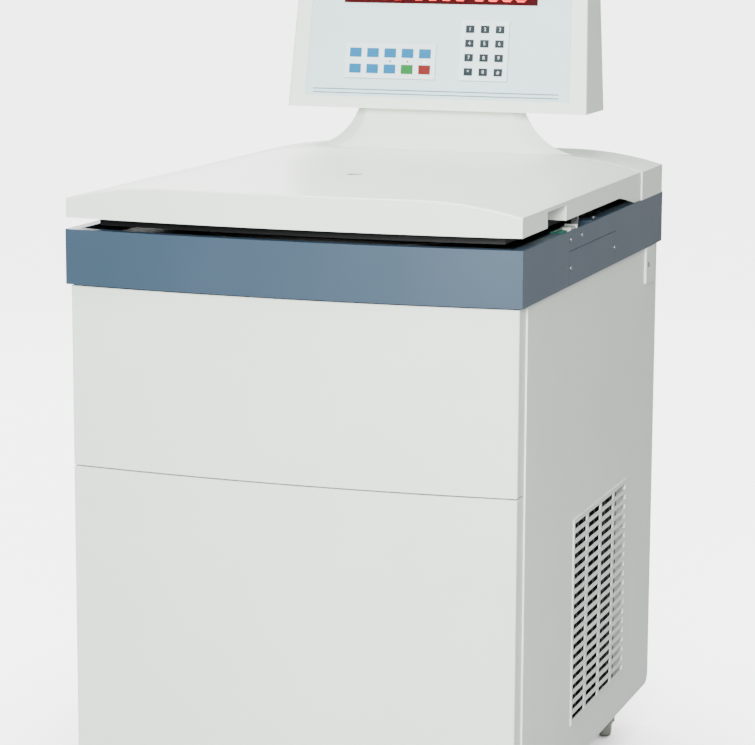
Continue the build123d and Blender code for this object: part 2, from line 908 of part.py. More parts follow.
def make_spindle():
    bottom = chamber_under - mount_height - motor_bore_depth + fit_gap
    seat = rotor_floor()
    top = seat + rotor_height + knob_height - 8
    cone_low = shaft_radius + 5
    thread = shaft_radius - 4
    return turned(
        [
            (0, bottom),
            (shaft_radius, bottom),
            (shaft_radius, seat - 8),
            (cone_low, seat - 8),
            (cone_low, seat),
            (shaft_radius, seat + 80),
            (thread, seat + 80),
            (thread, top),
            (0, top),
        ],
        chamber_y,
    )


def make_rotor():
    """Fixed-angle rotor with a ring of inclined tube bores round its hub."""
    z0 = rotor_floor()
    z1 = z0 + rotor_height
    body = turned(
        [
            (0, z0),
            (rotor_radius, z0),
            (rotor_radius, z0 + rotor_band),
            (rotor_top_radius, z1),
            (rotor_hub_radius, z1),
            (rotor_hub_radius, z1 - 12),
            (0, z1 - 12),
        ],
        chamber_y,
    )
    tilt = radians(rotor_tilt)
    for k in range(rotor_places):
        angle = 2 * pi * k / rotor_places
        outward = Vector(cos(angle), sin(angle), 0)
        mouth = Vector(0, chamber_y, z1) + outward * rotor_bore_circle
        down = outward * sin(tilt) - Vector(0, 0, cos(tilt))
        start = mouth - down * 30
        end = mouth + down * rotor_bore_depth
        body -= round_bar(rotor_bore_radius, (start.X, start.Y, start.Z), (end.X, end.Y, end.Z))
    seat = turned(
        [
            (0, z0 - 1),
            (shaft_radius + 5 + 0.02, z0 - 1),
            (shaft_radius + 5 + 0.02, z0),
            (shaft_radius + 0.02, z0 + 80),
            (shaft_radius - 4 + 0.02, z0 + 80),
            (shaft_radius - 4 + 0.02, z1),
            (0, z1),
        ],
        chamber_y,
    )
    return body - seat


def make_knob():
    """Hand knob that clamps the rotor, with finger flutes."""
    z0 = rotor_floor() + rotor_height - 12
    z1 = z0 + 12 + knob_height
    body = turned(
        [(0, z0), (rotor_hub_radius - 6, z0), (rotor_hub_radius - 6, z0 + 10), (knob_radius, z0 + 14)]
        + [(knob_radius, z1 - 3), (knob_radius - 3, z1), (0, z1)],
        chamber_y,
    )
    for k in range(knob_flutes):
        angle = 2 * pi * k / knob_flutes
        x = (knob_radius + 2) * cos(angle)
        y = chamber_y + (knob_radius + 2) * sin(angle)
        body -= round_bar(4.0, (x, y, z0 + 15), (x, y, z1 + 1))
    spindle_hole = rotor_floor() + rotor_height + knob_height - 8
    return body - Pos(0, chamber_y, z0) * Cylinder(
        shaft_radius - 4 + 0.02, spindle_hole - z0 + 0.2, align=(Align.CENTER, Align.CENTER, Align.MIN)
    )


# Cooling pieces
def make_compressor():
    z0 = base_height + tray_sheet + compressor_foot
    z1 = z0 + compressor_height
    r = compressor_radius
    dome = 46.0
    dome_radius = (r**2 + dome**2) / (2 * dome)
    half_way = asin(r / dome_radius) / 2
    wall = Line((0, 0, z0 + 4), (0, 0, z1))
    crown_mid = (dome_radius * sin(half_way), 0, z1 - dome_radius * (1 - cos(half_way)))
    crown = ThreePointArc((0, 0, z1), crown_mid, (r, 0, z1 - dome))
    side = Polyline((r, 0, z1 - dome), (r, 0, z0 + 30), (r - 22, 0, z0 + 4), (0, 0, z0 + 4))
    can = Pos(compressor_x, compressor_y, 0) * revolve(make_face([wall, crown, side]), Axis.Z)
    spread = foot_spread + foot_radius + 3
    can += block(
        compressor_x - spread,
        compressor_x + spread,
        compressor_y - spread,
        compressor_y + spread,
        z0,
        z0 + 4,
    )
    seam_z = z0 + compressor_height * 0.55
    can += Pos(compressor_x, compressor_y, seam_z) * Cylinder(r + 4, 5)
    return can


def condenser_box():
    """Faces of the condenser block: x0, x1, y0, y1, z0, z1."""
    x1 = side_half - condenser_gap
    y0 = grille_front + (grille_width - condenser_width) / 2
    z0 = base_height + rail
    z1 = grille_bottom + condenser_height
    return x1 - condenser_depth, x1, y0, y0 + condenser_width, z0, z1


def make_condenser():
    x0, x1, y0, y1, z0, z1 = condenser_box()
    body = block(x0, x1, y0, y1, z0, z1)
    pitch = (condenser_width - 20) / fin_count
    for k in range(fin_count):
        y = y0 + 10 + k * pitch
        body -= block(x1 - 8, x1 + 1, y + 3, y + pitch - 3, z0 + 12, z1 - 12)
    return body


def fan_axis():
    """Rear face of the shroud plate and the fan's axis: x, y, z."""
    x0, x1, y0, y1, z0, z1 = condenser_box()
    return x0 - shroud_thickness, (y0 + y1) / 2, grille_bottom + condenser_height / 2


def make_fan_shroud():
    """Shroud plate with its intake ring, and the fan motor on three arms."""
    x0, x1, y0, y1, z0, z1 = condenser_box()
    back, y, z = fan_axis()
    opening = fan_radius + fan_tip_gap
    ring_wall = 4.0
    ring_back = back - fan_setback + 14
    body = block(back, x0, y0, y1, z0, z1)
    body += round_bar(opening + ring_wall, (ring_back, y, z), (back, y, z))
    body -= round_bar(opening, (ring_back - 1, y, z), (x0 + 1, y, z))
    motor_front = back - fan_setback
    motor_back = motor_front - fan_motor_length
    body += round_bar(fan_motor_radius, (motor_back, y, z), (motor_front, y, z))
    arm_x = motor_front - 10
    for k in range(3):
        angle = radians(90 + 120 * k)
        reach = opening + ring_wall / 2
        tip_y = y + reach * cos(angle)
        tip_z = z + reach * sin(angle)
        body += round_bar(4.0, (arm_x, y, z), (arm_x, tip_y, tip_z))
        bend = Pos(arm_x, tip_y, tip_z) * Sphere(4.0)
        body += bend
        body += round_bar(4.0, (arm_x, tip_y, tip_z), (ring_back, tip_y, tip_z))
    body += round_bar(fan_shaft_radius, (motor_front, y, z), (motor_front + fan_hub_length - 2, y, z))
    return body


def make_fan():
    """Condenser fan: hub with pitched blades."""
    back, y, z = fan_axis()
    face = back - fan_setback + 2
    hub = round_bar(fan_hub_radius, (face, y, z), (face + fan_hub_length, y, z))
    mid = face + fan_hub_length / 2
    sunk = 8.0
    for k in range(fan_blades):
        length = fan_radius - fan_hub_radius + sunk
        blade = Box(fan_blade_thick, fan_chord, length, align=(Align.CENTER, Align.CENTER, Align.MIN))
        tip_edges = blade.faces().sort_by(Axis.Z)[-1].edges().filter_by(Axis.X)
        blade = fillet(tip_edges, fan_chord * 0.35)
        blade = Pos(0, 0, fan_hub_radius - sunk) * Rot(0, 0, fan_pitch) * blade
        hub += Pos(mid, y, z) * Rot(360 * k / fan_blades, 0, 0) * blade
    return hub - round_bar(
        fan_shaft_radius + running, (face - 1, y, z), (face + fan_hub_length - 3, y, z)
    )


def make_inverter():
    """Motor drive in its finned case on the left rail."""
    x0 = -frame_half
    z0 = base_height + rail
    y0 = frame_front + rail + 60
    case = block(x0, x0 + drive_box_width, y0, y0 + drive_box_depth, z0, z0 + drive_box_height)
    pitch = drive_box_depth / drive_fins
    for k in range(drive_fins):
        y = y0 + k * pitch
        case -= block(
            x0 + drive_box_width - 22,
            x0 + drive_box_width + 1,
            y + 5,
            y + pitch - 1,
            z0 + 10,
            z0 + drive_box_height + 1,
        )
    return case


# Lid
def lid_solid(half, wall, y_back, z0):
    """Full form of the lid, less a wall all round."""
    plan = bowed_block(half - wall, wall, y_back, z0, crown_top + 1)
    return plan & crowned_block(half - wall, wall, z0 - 1, front_tip - 1, y_back + 1)


def make_lid_shell():
    rear_skirt = collar_top + ramp_gap
    body = lid_solid(lid_half, 0, lid_back, rear_skirt)
    top_front = body.edges().filter_by(
        lambda e: e.center().Z > crown_top - 12 and e.center().Y < front_tip + 40
    )
    body = fillet(top_front, 3.0)
    body -= side_profile(
        [
            (front_tip - 1, rear_skirt - 1),
            (front_tip - 1, skirt_bottom),
            (ramp_start, skirt_bottom),
            (ramp_end, rear_skirt),
            (ramp_end, rear_skirt - 1),
        ],
        -width,
        width,
    )
    wall_back = lid_back - lid_end_wall
    body -= lid_solid(lid_half, lid_wall, wall_back - lid_wall, rear_skirt - 5)
    rear_bay = lid_solid(lid_half, lid_wall, lid_back + 1, rear_skirt - 5)
    body -= rear_bay & block(-width, width, wall_back, lid_back + 2, 0, 2 * crown_top)
    arm_clear = hinge_z - 21
    body -= block(
        -lid_half + lid_wall,
        lid_half - lid_wall,
        wall_back - lid_wall - 1,
        wall_back + 1,
        rear_skirt - 5,
        arm_clear,
    )
    x_in = lid_half - pocket_depth
    y1 = pocket_front + pocket_length
    z1 = skirt_bottom + pocket_height
    body += block(
        x_in - lid_wall,
        lid_half - lid_wall / 2,
        pocket_front - lid_wall,
        y1 + lid_wall,
        skirt_bottom,
        z1 + lid_wall,
    )
    body -= block(x_in, lid_half + 5, pocket_front, y1, skirt_bottom - 1, z1)
    posts = []
    for x in (-lid_post_x, 0, lid_post_x):
        for y in (chamber_y - lid_post_y, chamber_y + lid_post_y):
            posts.append(round_bar(lid_post_radius, (x, y, armour_top), (x, y, crown_top - lid_wall)))
    body = body + posts
    hole = Pos(0, chamber_y, crown_top) * Cylinder(window_radius + fit_gap, 40)
    return body - hole


def make_lid_liner():
    """Black pan under the lid that closes on the chamber gasket."""
    outer = bowed_block(liner_half, liner_front, liner_back, liner_bottom, armour_under)
    inner = bowed_block(
        liner_half - liner_sheet,
        liner_front + liner_sheet,
        liner_back - liner_sheet,
        liner_bottom + liner_sheet,
        armour_under + 1,
    )
    hole = Pos(0, chamber_y, liner_bottom) * Cylinder(window_radius + fit_gap, 40)
    return outer - inner - hole


def make_lid_frame():
    """Armour plate with the two swan-neck hinge arms and the gas spring lugs."""
    plate = bowed_block(armour_half, liner_front + 15, armour_back, armour_under, armour_top)
    plate -= Pos(0, chamber_y, armour_under) * Cylinder(window_radius + fit_gap, 60)
    half = arm_depth / 2
    low = hinge_z - arm_drop
    front = hinge_y - arm_reach
    swan = [
        (hinge_y + half, hinge_z),
        (hinge_y + half - 2, low - half + 4),
        (hinge_y + half - 6, low - half),
        (front - half + 4, low - half),
        (front - half, low - half + 4),
        (front - half, armour_under),
        (front - half - 40, armour_under),
        (front - half - 40, armour_top),
        (armour_back, armour_top),
        (front + half, armour_top - 4),
        (front + half, low + half),
        (hinge_y - half - 2, low + half),
        (hinge_y - half, hinge_z),
    ]
    x0 = hinge_x - arm_thickness / 2
    x1 = hinge_x + arm_thickness / 2
    arm = side_profile(swan, x0, x1)
    arm += round_bar(knuckle_radius, (x0, hinge_y, hinge_z), (x1, hinge_y, hinge_z))
    arm -= round_bar(hinge_pin_radius + running, (x0 - 1, hinge_y, hinge_z), (x1 + 1, hinge_y, hinge_z))
    lug_x = spring_x + 5 + fit_gap
    reach = spring_eye
    lug = block(
        lug_x, lug_x + lug_sheet, spring_top_y - reach, spring_top_y + reach, spring_top_z - 8, armour_under
    )
    for piece in (arm, lug):
        for side in both_sides(piece):
            plate += side
    return plate


def make_sight_window():
    """Clear plug down through the lid."""
    z0 = liner_bottom + 0.5
    window = Pos(0, chamber_y, z0) * Cylinder(
        window_radius, crown_top - z0 - 0.6, align=(Align.CENTER, Align.CENTER, Align.MIN)
    )
    return window


def make_striker():
    """Lock striker on the lid: a bracket from the liner's side ending in an eye plate."""
    y0 = striker_y - striker_thick / 2
    y1 = striker_y + striker_thick / 2
    half = striker_width / 2
    arm_low = liner_bottom + 6
    arm_high = arm_low + 15
    plate = block(lock_x - half, lock_x + half, y0, y1, lock_z - half, arm_high)
    plate += block(liner_half, lock_x + half, y0, y1, arm_low, arm_high)
    plate += block(liner_half, liner_half + 3, y0 - 20, y1 + 20, arm_low, arm_high + 6)
    toe = plate.edges().filter_by(Axis.Y).sort_by(Axis.Z)[:2]
    plate = fillet(toe, half - 1)
    return plate - round_bar(bolt_radius + 1, (lock_x, y0 - 1, lock_z), (lock_x, y1 + 1, lock_z))


# Lid hinge brackets with their pins
def make_hinge_brackets():
    inner = arm_thickness / 2 + fit_gap
    outer = inner + cheek_thickness
    y0 = cover_front + cover_wall + fit_gap
    y1 = y0 + cheek_foot
    body = block(hinge_x - outer, hinge_x + outer, y0 + 12, y1, deck_top, deck_top + 5)
    for x0 in (hinge_x - outer, hinge_x + inner):
        body += side_profile(
            [(y0 + 2, deck_top), (y1, deck_top), (hinge_y + 8, hinge_z + 5), (hinge_y - 4, hinge_z + 8)]
            + [(hinge_y - 8, hinge_z + 4), (hinge_y - 8, hinge_z - 6), (y0 + 10, hinge_z - 20)],
            x0,
            x0 + cheek_thickness,
        )
    body += round_bar(
        hinge_pin_radius, (hinge_x - outer, hinge_y, hinge_z), (hinge_x + outer, hinge_y, hinge_z)
    )
    return both_sides(body)


# Gas springs, modelled on the right at rest and mirrored to the left
def spring_line():
    """Unit vector along the spring, and its closed length."""
    dy = spring_top_y - spring_low_y
    dz = spring_top_z - spring_low_z
    length = sqrt(dy**2 + dz**2)
    return dy / length, dz / length, length


def spring_stroke():
    """How far the spring lengthens as the lid opens fully."""
    turn = radians(lid_travel)
    dy = spring_top_y - hinge_y
    dz = spring_top_z - hinge_z
    open_y = hinge_y + dy * cos(turn) + dz * sin(turn)
    open_z = hinge_z - dy * sin(turn) + dz * cos(turn)
    return sqrt((open_y - spring_low_y) ** 2 + (open_z - spring_low_z) ** 2) - spring_line()[2]


def on_spring(distance, x=None):
    """Point on the spring's line at a distance from its lower pivot."""
    uy, uz, length = spring_line()
    x = spring_x if x is None else x
    return (x, spring_low_y + uy * distance, spring_low_z + uz * distance)


def make_gas_cylinder():
    x0 = spring_x - spring_eye / 2
    x1 = spring_x + spring_eye / 2
    eye = round_bar(spring_radius, on_spring(0, x0), on_spring(0, x1))
    barrel_start = spring_radius + 5
    barrel_end = barrel_start + spring_stroke() + spring_grip
    barrel = round_bar(spring_radius, on_spring(barrel_start), on_spring(barrel_end))
    shank = round_bar(5.0, on_spring(4), on_spring(barrel_start))
    body = eye + shank + barrel
    body -= round_bar(spring_pin_radius + running, on_spring(0, x0 - 1), on_spring(0, x1 + 1))
    return body - round_bar(
        spring_rod_radius + running, on_spring(barrel_start + 12), on_spring(barrel_end + 1)
    )


def make_gas_rod():
    uy, uz, length = spring_line()
    socket = round_bar(8.0, on_spring(length, spring_x - 5), on_spring(length, spring_x + 5))
    return socket + round_bar(
        spring_rod_radius, on_spring(spring_radius + 5 + 12 + fit_gap), on_spring(length - 4)
    )


# Rear cover: fixed block behind the lid
def cover_form(wall, z0):
    body = crowned_block(half_width - wall, wall, z0, cover_front + wall, back_face - wall)
    return body


def make_rear_cover():
    body = cover_form(0, collar_top)
    rear_top = body.edges().filter_by(
        lambda e: e.center().Y > back_face - 1 and e.center().Z > collar_top + 20
    )
    body = fillet(rear_top, cover_round)
    body -= cover_form(cover_wall, collar_top - 1)
    slot = arm_thickness / 2 + fit_gap + cheek_thickness + 1.5
    for sign in (-1, 1):
        body -= block(
            sign * hinge_x - slot,
            sign * hinge_x + slot,
            cover_front - 1,
            cover_front + 2 * cover_wall,
            collar_top + 5,
            crown_top - cover_wall,
        )
    return body


def neck_outline(top_half, foot_half, shoulder, y, z0):
    """Upright face of the neck: vertical at the top, flaring to its foot."""
    z1 = crown_top
    z2 = console_bottom
    mid_x = top_half + (foot_half - top_half) * shoulder
    mid_z = z1 + (z2 - z1) * 0.41
    right = ThreePointArc((top_half, y, z2), (mid_x, y, mid_z), (foot_half, y, z1))
    left = ThreePointArc((-foot_half, y, z1), (-mid_x, y, mid_z), (-top_half, y, z2))
    foot = Polyline((foot_half, y, z1), (foot_half, y, z0), (-foot_half, y, z0), (-foot_half, y, z1))
    head = Line((-top_half, y, z2), (top_half, y, z2))
    return make_face([right, foot, left, head])


def make_neck():
    """Flared pedestal, bevelled at the front and drawn in towards the back."""
    z0 = crown_top - 12
    front = neck_outline(neck_top_half, neck_foot_half, 0.3, neck_front, z0)
    rim = neck_outline(neck_rim_top_half, neck_rim_foot_half, 0.33, neck_front + neck_bevel, z0)
    rear = neck_outline(neck_top_half - 20, neck_foot_half - 8, 0.3, neck_front + neck_depth, z0)
    body = loft([front.face(), rim.face()], ruled=True)
    body += loft([rim.face(), rear.face()], ruled=True)
    envelope = crowned_block(half_width, 0, collar_top, cover_front, back_face)
    return body - envelope


# Console
lean = radians(console_lean)
console_plane = Plane(
    origin=(0, console_front, console_bottom), x_dir=(1, 0, 0), z_dir=(0, -cos(lean), sin(lean))
)


def console_solid(inset):
    """Housing form, drawn in by a wall: front leaning back, rear upright, sides tapering upwards."""
    z0 = console_bottom + inset
    z1 = console_bottom + console_height - inset
    taper = (console_half_low - console_half_high) / console_height
    faces = []
    for z in (z0, z1):
        rise = z - console_bottom
        half = console_half_low - taper * rise - inset
        y0 = console_front + rise * tan(lean) + inset
        y1 = console_back - inset
        outline = Polyline((-half, y0, z), (half, y0, z), (half, y1, z), (-half, y1, z), close=True)
        faces.append(make_face(outline).face())
    return loft(faces, ruled=True)


def console_body():
    body = console_solid(0)
    uprights = body.edges().filter_by(lambda e: abs(e.tangent_at(0.5).Z) > 0.8)
    front = uprights.sort_by(Axis.Y)[:2]
    rear = uprights.sort_by(Axis.Y)[2:]
    body = fillet(rear, console_rear_corner)
    front = body.edges().filter_by(lambda e: abs(e.tangent_at(0.5).Z) > 0.8).sort_by(Axis.Y)[:2]
    return fillet(front, console_corner)


def face_trapezoid(low, height, half_low, half_high, depth0, depth1):
    """Plate parallel to the console's face between two depths, outward positive."""
    points = [(-half_low, low), (half_low, low), (half_high, low + height), (-half_high, low + height)]
    face = make_face(Polyline(*points, close=True))
    plate = extrude(face, depth1 - depth0)
    return console_plane.location * Pos(0, 0, depth0) * plate


def face_block(x0, x1, h0, h1, depth0, depth1):
    """Box on the console's face: across, up the face, and outwards."""
    box = Pos(
        (x0 + x1) / 2, (h0 + h1) / 2, (depth0 + depth1) / 2
    ) * Box(x1 - x0, h1 - h0, depth1 - depth0)
    return console_plane.location * box


def make_console_bezel():
    reach = 2 * console_height
    ahead = face_block(-width, width, -reach, reach, -bezel_depth, reach)
    bezel = console_body() & ahead
    g = fit_gap
    return bezel - face_trapezoid(
        overlay_low - g,
        overlay_height + 2 * g,
        overlay_half_low + g,
        overlay_half_high + g,
        -overlay_thick,
        5,
    )


def make_console_back():
    reach = 2 * console_height
    behind = face_block(-width, width, -reach, reach, -reach, -bezel_depth)
    shell = (console_body() - console_solid(console_wall)) & behind
    slots = []
    z0 = console_bottom + console_vent_rise
    z1 = z0 + console_vent_height
    for k in range(console_vents):
        x0 = (k - (console_vents - 1) / 2) * console_vent_pitch - console_vent_width / 2
        slots.append(block(x0, x0 + console_vent_width, console_back - 8, console_back + 2, z0, z1))
    return shell - slots


def make_overlay():
    plate = face_trapezoid(
        overlay_low, overlay_height, overlay_half_low, overlay_half_high, -overlay_thick, 0
    )
    g = fit_gap
    return plate - face_block(
        -led_half - g, led_half + g, led_low - g, led_low + led_height + g, -overlay_thick - 1, 1
    )


def make_led_window():
    top = led_thick - overlay_thick
    return face_block(-led_half, led_half, led_low, led_low + led_height, -overlay_thick, top)


def make_keypads():
    """The function and number key films, each with its raised keys."""
    pads = []
    fields = [
        (key_left, key_low, 5, 2, key_width, key_height, key_pitch_x, key_pitch_y),
        (digit_left, digit_low, 3, 4, digit_width, digit_height, digit_pitch_x, digit_pitch_y),
    ]
    for left, low, columns, rows, w, h, dx, dy in fields:
        right = left + (columns - 1) * dx + w
        high = low + (rows - 1) * dy + h
        pad = face_block(
            left - pad_margin, right + pad_margin, low - pad_margin, high + pad_margin, 0, film_thick
        )
        for i in range(columns):
            for j in range(rows):
                x = left + i * dx
                y = low + j * dy
                pad += face_block(x, x + w, y, y + h, film_thick, film_thick + key_thick)
        pads.append(pad)
    return pads


# Lock beside the lid's pocket
def make_solenoid():
    x0 = lock_x - solenoid_width / 2
    x1 = lock_x + solenoid_width / 2
    y1 = solenoid_front + solenoid_length
    body = block(x0, x1, solenoid_front, y1, deck_top, lock_z + 5)
    body += block(x0 - 2, x1 + 2, y1, y1 + 4, deck_top, lock_z + 7)
    bore_end = bolt_rest - bolt_length - fit_gap
    return body - round_bar(bolt_radius + running, (lock_x, bore_end, lock_z), (lock_x, y1 + 5, lock_z))


def make_bolt():
    bolt = round_bar(bolt_radius, (lock_x, bolt_rest - bolt_length, lock_z), (lock_x, bolt_rest, lock_z))
    tip = bolt.faces().sort_by(Axis.Y)[-1].edges()
    return chamfer(tip, 1.2)


def make_board():
    """Terminal board on its edge ahead of the solenoid, with a row of clamps."""
    y1 = board_front + board_length
    x0 = lock_x - board_thick / 2
    board = block(x0, x0 + 2, board_front, y1, deck_top, deck_top + board_height)
    clamp_pitch = board_length / 6
    for k in range(6):
        y = board_front + k * clamp_pitch + 1.5
        board += block(x0 + 2, x0 + board_thick, y, y + clamp_pitch - 3, deck_top + 4, deck_top + 13)
    return board


def make_keeper():
    """Folded bracket level with the collar's rim, with a slot across its top."""
    x0 = lock_x - keeper_half
    x1 = lock_x + keeper_half - 1
    y0 = keeper_front
    y1 = keeper_back - fit_gap
    body = block(x0, x1, y0, y1, collar_top - keeper_sheet, collar_top)
    for leg in (y0, y1 - keeper_sheet):
        body += block(x0, x1, leg, leg + keeper_sheet, deck_top, collar_top)
    outer_bends = body.edges().filter_by(Axis.X).filter_by(
        lambda e: e.center().Z > collar_top - 0.1
    )
    body = fillet(outer_bends, keeper_sheet * 0.7)
    slot_x = lock_x - keeper_half + 3
    slot_y = y0 + 10
    return body - block(
        slot_x,
        slot_x + keeper_slot_length,
        slot_y,
        slot_y + keeper_slot_width,
        collar_top - keeper_sheet - 1,
        collar_top + 1,
    )


# Casters: the plate and race are bolted to the chassis, the fork swivels, and the wheel turns on its axle
def make_caster_plate():
    z1 = base_height
    z0 = z1 - caster_plate_sheet
    plate = block(-caster_plate / 2, caster_plate / 2, -caster_plate / 2, caster_plate / 2, z0, z1)
    plate = fillet(plate.edges().filter_by(Axis.Z), 6.0)
    race_low = z0 - race_height
    fork_under = race_low - fit_gap - fork_sheet
    head_high = fork_under - fit_gap
    return plate + turned(
        [(0, z0), (race_radius, z0), (race_radius, race_low), (kingpin_radius, race_low)]
        + [
            (kingpin_radius, head_high),
            (kingpin_head, head_high),
            (kingpin_head, head_high - 4),
            (0, head_high - 4),
        ]
    )


def make_caster_fork():
    top = base_height - caster_plate_sheet - race_height - fit_gap
    inner = wheel_width / 2 + fork_gap
    outer = inner + fork_sheet
    crown = Pos(0, 0, top - fork_sheet) * Cylinder(
        fork_top_half, fork_sheet, align=(Align.CENTER, Align.CENTER, Align.MIN)
    )
    crown = crown & block(-outer, outer, -50, 50, 0, top)
    leg = [
        (-fork_top_half + 5, top),
        (fork_top_half - 3, top),
        (caster_trail + fork_axle_half, wheel_radius + 4),
        (caster_trail + 5, wheel_radius - fork_axle_half),
        (caster_trail - 5, wheel_radius - fork_axle_half),
        (caster_trail - fork_axle_half, wheel_radius + 2),
    ]
    for x0 in (-outer, inner):
        crown += side_profile(leg, x0, x0 + fork_sheet)
    crown += round_bar(
        axle_radius, (-outer - 2, caster_trail, wheel_radius), (outer + 2, caster_trail, wheel_radius)
    )
    for x0, x1 in ((-outer - 3, -outer), (outer, outer + 3)):
        crown += round_bar(
            axle_radius + 2.5, (x0, caster_trail, wheel_radius), (x1, caster_trail, wheel_radius)
        )
    return crown - Pos(0, 0, top) * Cylinder(kingpin_radius + running, 30)


def make_caster_wheel():
    half = wheel_width / 2
    wheel = round_bar(
        wheel_radius, (-half, caster_trail, wheel_radius), (half, caster_trail, wheel_radius)
    )
    rims = wheel.edges().filter_by(GeomType.CIRCLE)
    wheel = fillet(rims, wheel_round)
    for sign in (-1, 1):
        face = sign * half
        dish = round_bar(
            wheel_radius - 9,
            (face - sign * 3, caster_trail, wheel_radius),
            (face + sign, caster_trail, wheel_radius),
        )
        dish -= round_bar(
            axle_radius + 4,
            (face - sign * 4, caster_trail, wheel_radius),
            (face, caster_trail, wheel_radius),
        )
        wheel -= dish
    return wheel - round_bar(
        axle_radius + running,
        (-half - 1, caster_trail, wheel_radius),
        (half + 1, caster_trail, wheel_radius),
    )


caster_places = {
    "front_left": (-caster_x, caster_front),
    "front_right": (caster_x, caster_front),
    "rear_left": (-caster_x, caster_rear),
    "rear_right": (caster_x, caster_rear),
}

pieces = {
    "chassis_frame": make_chassis(),
    "side_panel_right": make_side_panel(True),
    "side_panel_left": mirror(make_side_panel(False), Plane.YZ),
    "side_grille": make_side_grille(),
    "side_cover_plate": make_side_plate(),
    "rear_panel": make_rear_panel(),
    "power_inlet": make_power_inlet(),
    "switch_rocker": make_switch_rocker(),
    "lower_front_panel": make_front_panel(skirt_height, seam_height - seam_gap / 2),
    "upper_front_panel": make_front_panel(seam_height + seam_gap / 2, collar_bottom - collar_shadow_gap),
    "collar": make_collar(),
    "collar_access_plate": make_access_plate(),
    "panel_screws": Compound(children=make_screws()),
    "inner_deck": make_deck(),
    "chamber_bowl": make_bowl(),
    "chamber_gasket": make_chamber_gasket(),
    "foam_insulation": make_foam(),
    "guard_ring": make_guard_ring(),
    "chamber_plate": make_chamber_plate(),
    "rubber_mounts": Compound(children=make_rubber_mounts()),
    "drive_motor": make_motor(),
    "spindle": make_spindle(),
    "rotor": make_rotor(),
    "rotor_knob": make_knob(),
    "compressor": make_compressor(),
    "condenser": make_condenser(),
    "fan_shroud": make_fan_shroud(),
    "condenser_fan": make_fan(),
    "inverter_drive": make_inverter(),
    "refrigerant_circuit": Compound(children=[make_evaporator()] + make_copper_lines()),
    "rear_cover": make_rear_cover(),
    "neck": make_neck(),
    "console_bezel": make_console_bezel(),
    "console_back": make_console_back(),
    "console_overlay": make_overlay(),
    "led_window": make_led_window(),
    "keypads": Compound(children=make_keypads()),
    "lid_shell": make_lid_shell(),
    "lid_liner": make_lid_liner(),
    "lid_frame": make_lid_frame(),
    "sight_window": make_sight_window(),
    "lid_striker": make_striker(),
    "hinge_brackets": Compound(children=make_hinge_brackets()),
    "gas_cylinder_right": make_gas_cylinder(),
    "gas_cylinder_left": mirror(make_gas_cylinder(), Plane.YZ),
    "gas_rod_right": make_gas_rod(),
    "gas_rod_left": mirror(make_gas_rod(), Plane.YZ),
    "lock_keeper": make_keeper(),
    "lock_solenoid": make_solenoid(),
    "lock_bolt": make_bolt(),
    "terminal_board": make_board(),
}
for place, (x, y) in caster_places.items():
    spot = Pos(x, y, 0)
    pieces[f"caster_fork_{place}"] = spot * Rot(0, 0, caster_turn) * make_caster_fork()
    pieces[f"caster_wheel_{place}"] = spot * Rot(0, 0, caster_turn) * make_caster_wheel()
plates = [Pos(x, y, 0) * make_caster_plate() for x, y in caster_places.values()]
pieces["caster_plates"] = Compound(children=plates)
for name, shape in pieces.items():
    save(shape, name)
print(len(pieces), "pieces")
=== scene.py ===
import math

import bmesh
import bpy
from mathutils import Matrix, Vector


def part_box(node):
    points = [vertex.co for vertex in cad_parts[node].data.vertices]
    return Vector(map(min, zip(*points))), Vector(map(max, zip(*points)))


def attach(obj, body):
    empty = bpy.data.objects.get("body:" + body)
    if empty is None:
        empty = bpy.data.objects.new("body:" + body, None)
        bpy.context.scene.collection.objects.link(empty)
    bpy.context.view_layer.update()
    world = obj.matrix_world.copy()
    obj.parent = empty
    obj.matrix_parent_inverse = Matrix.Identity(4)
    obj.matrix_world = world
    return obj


bl_info = {
    "name": "Refrigerated centrifuge dressing",
    "version": (1, 0, 0),
    "blender": (4, 5, 0),
    "location": "3D View > Sidebar > Centrifuge",
    "description": "Finishes, keys, display and studio for a floor-standing refrigerated centrifuge",
    "category": "Object",
}

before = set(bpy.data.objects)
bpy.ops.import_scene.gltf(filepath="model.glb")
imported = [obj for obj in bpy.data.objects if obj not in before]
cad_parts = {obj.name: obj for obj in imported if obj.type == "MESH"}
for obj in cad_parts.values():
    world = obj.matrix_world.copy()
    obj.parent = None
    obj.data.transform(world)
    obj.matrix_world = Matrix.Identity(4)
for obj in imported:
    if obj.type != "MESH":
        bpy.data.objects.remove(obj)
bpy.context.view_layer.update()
MM = 0.001
ROOT = "cabinet"

# The console's face plane in the frame: its middle at the bezel's foot, and its lean back from upright
FACE_ORIGIN = Vector((0.0, 0.2805, 1.091))
FACE_LEAN = math.radians(8.5)
FACE_UP = Vector((0.0, math.sin(FACE_LEAN), math.cos(FACE_LEAN)))
FACE_OUT = Vector((0.0, -math.cos(FACE_LEAN), math.sin(FACE_LEAN)))
# Millimetres ahead of that plane: the key films' face, and the key caps' tops
FILM_TOP = 0.5
CAP_HEIGHT = 0.92

CHAMBER_AXIS = (0.0, -0.12)
CASTERS = ("front_left", "front_right", "rear_left", "rear_right")
KINGPINS = ((-0.315, -0.33), (0.315, -0.33), (-0.315, 0.308), (0.315, 0.308))
CASTER_PLATE_UNDERSIDE = 0.083
# A wave texture's bands lie 2 pi over 20 apart at scale 1
WAVE_BAND = math.tau / 20


def srgb(code):
    """Linear colour with alpha from an sRGB hex code."""
    channels = [int(code[i : i + 2], 16) / 255 for i in (1, 3, 5)]
    linear = [c / 12.92 if c <= 0.04045 else ((c + 0.055) / 1.055) ** 2.4 for c in channels]
    return (*linear, 1.0)


def shade(colour, factor):
    """The colour made lighter or darker."""
    return tuple(min(1.0, c * factor) for c in colour[:3]) + (1.0,)


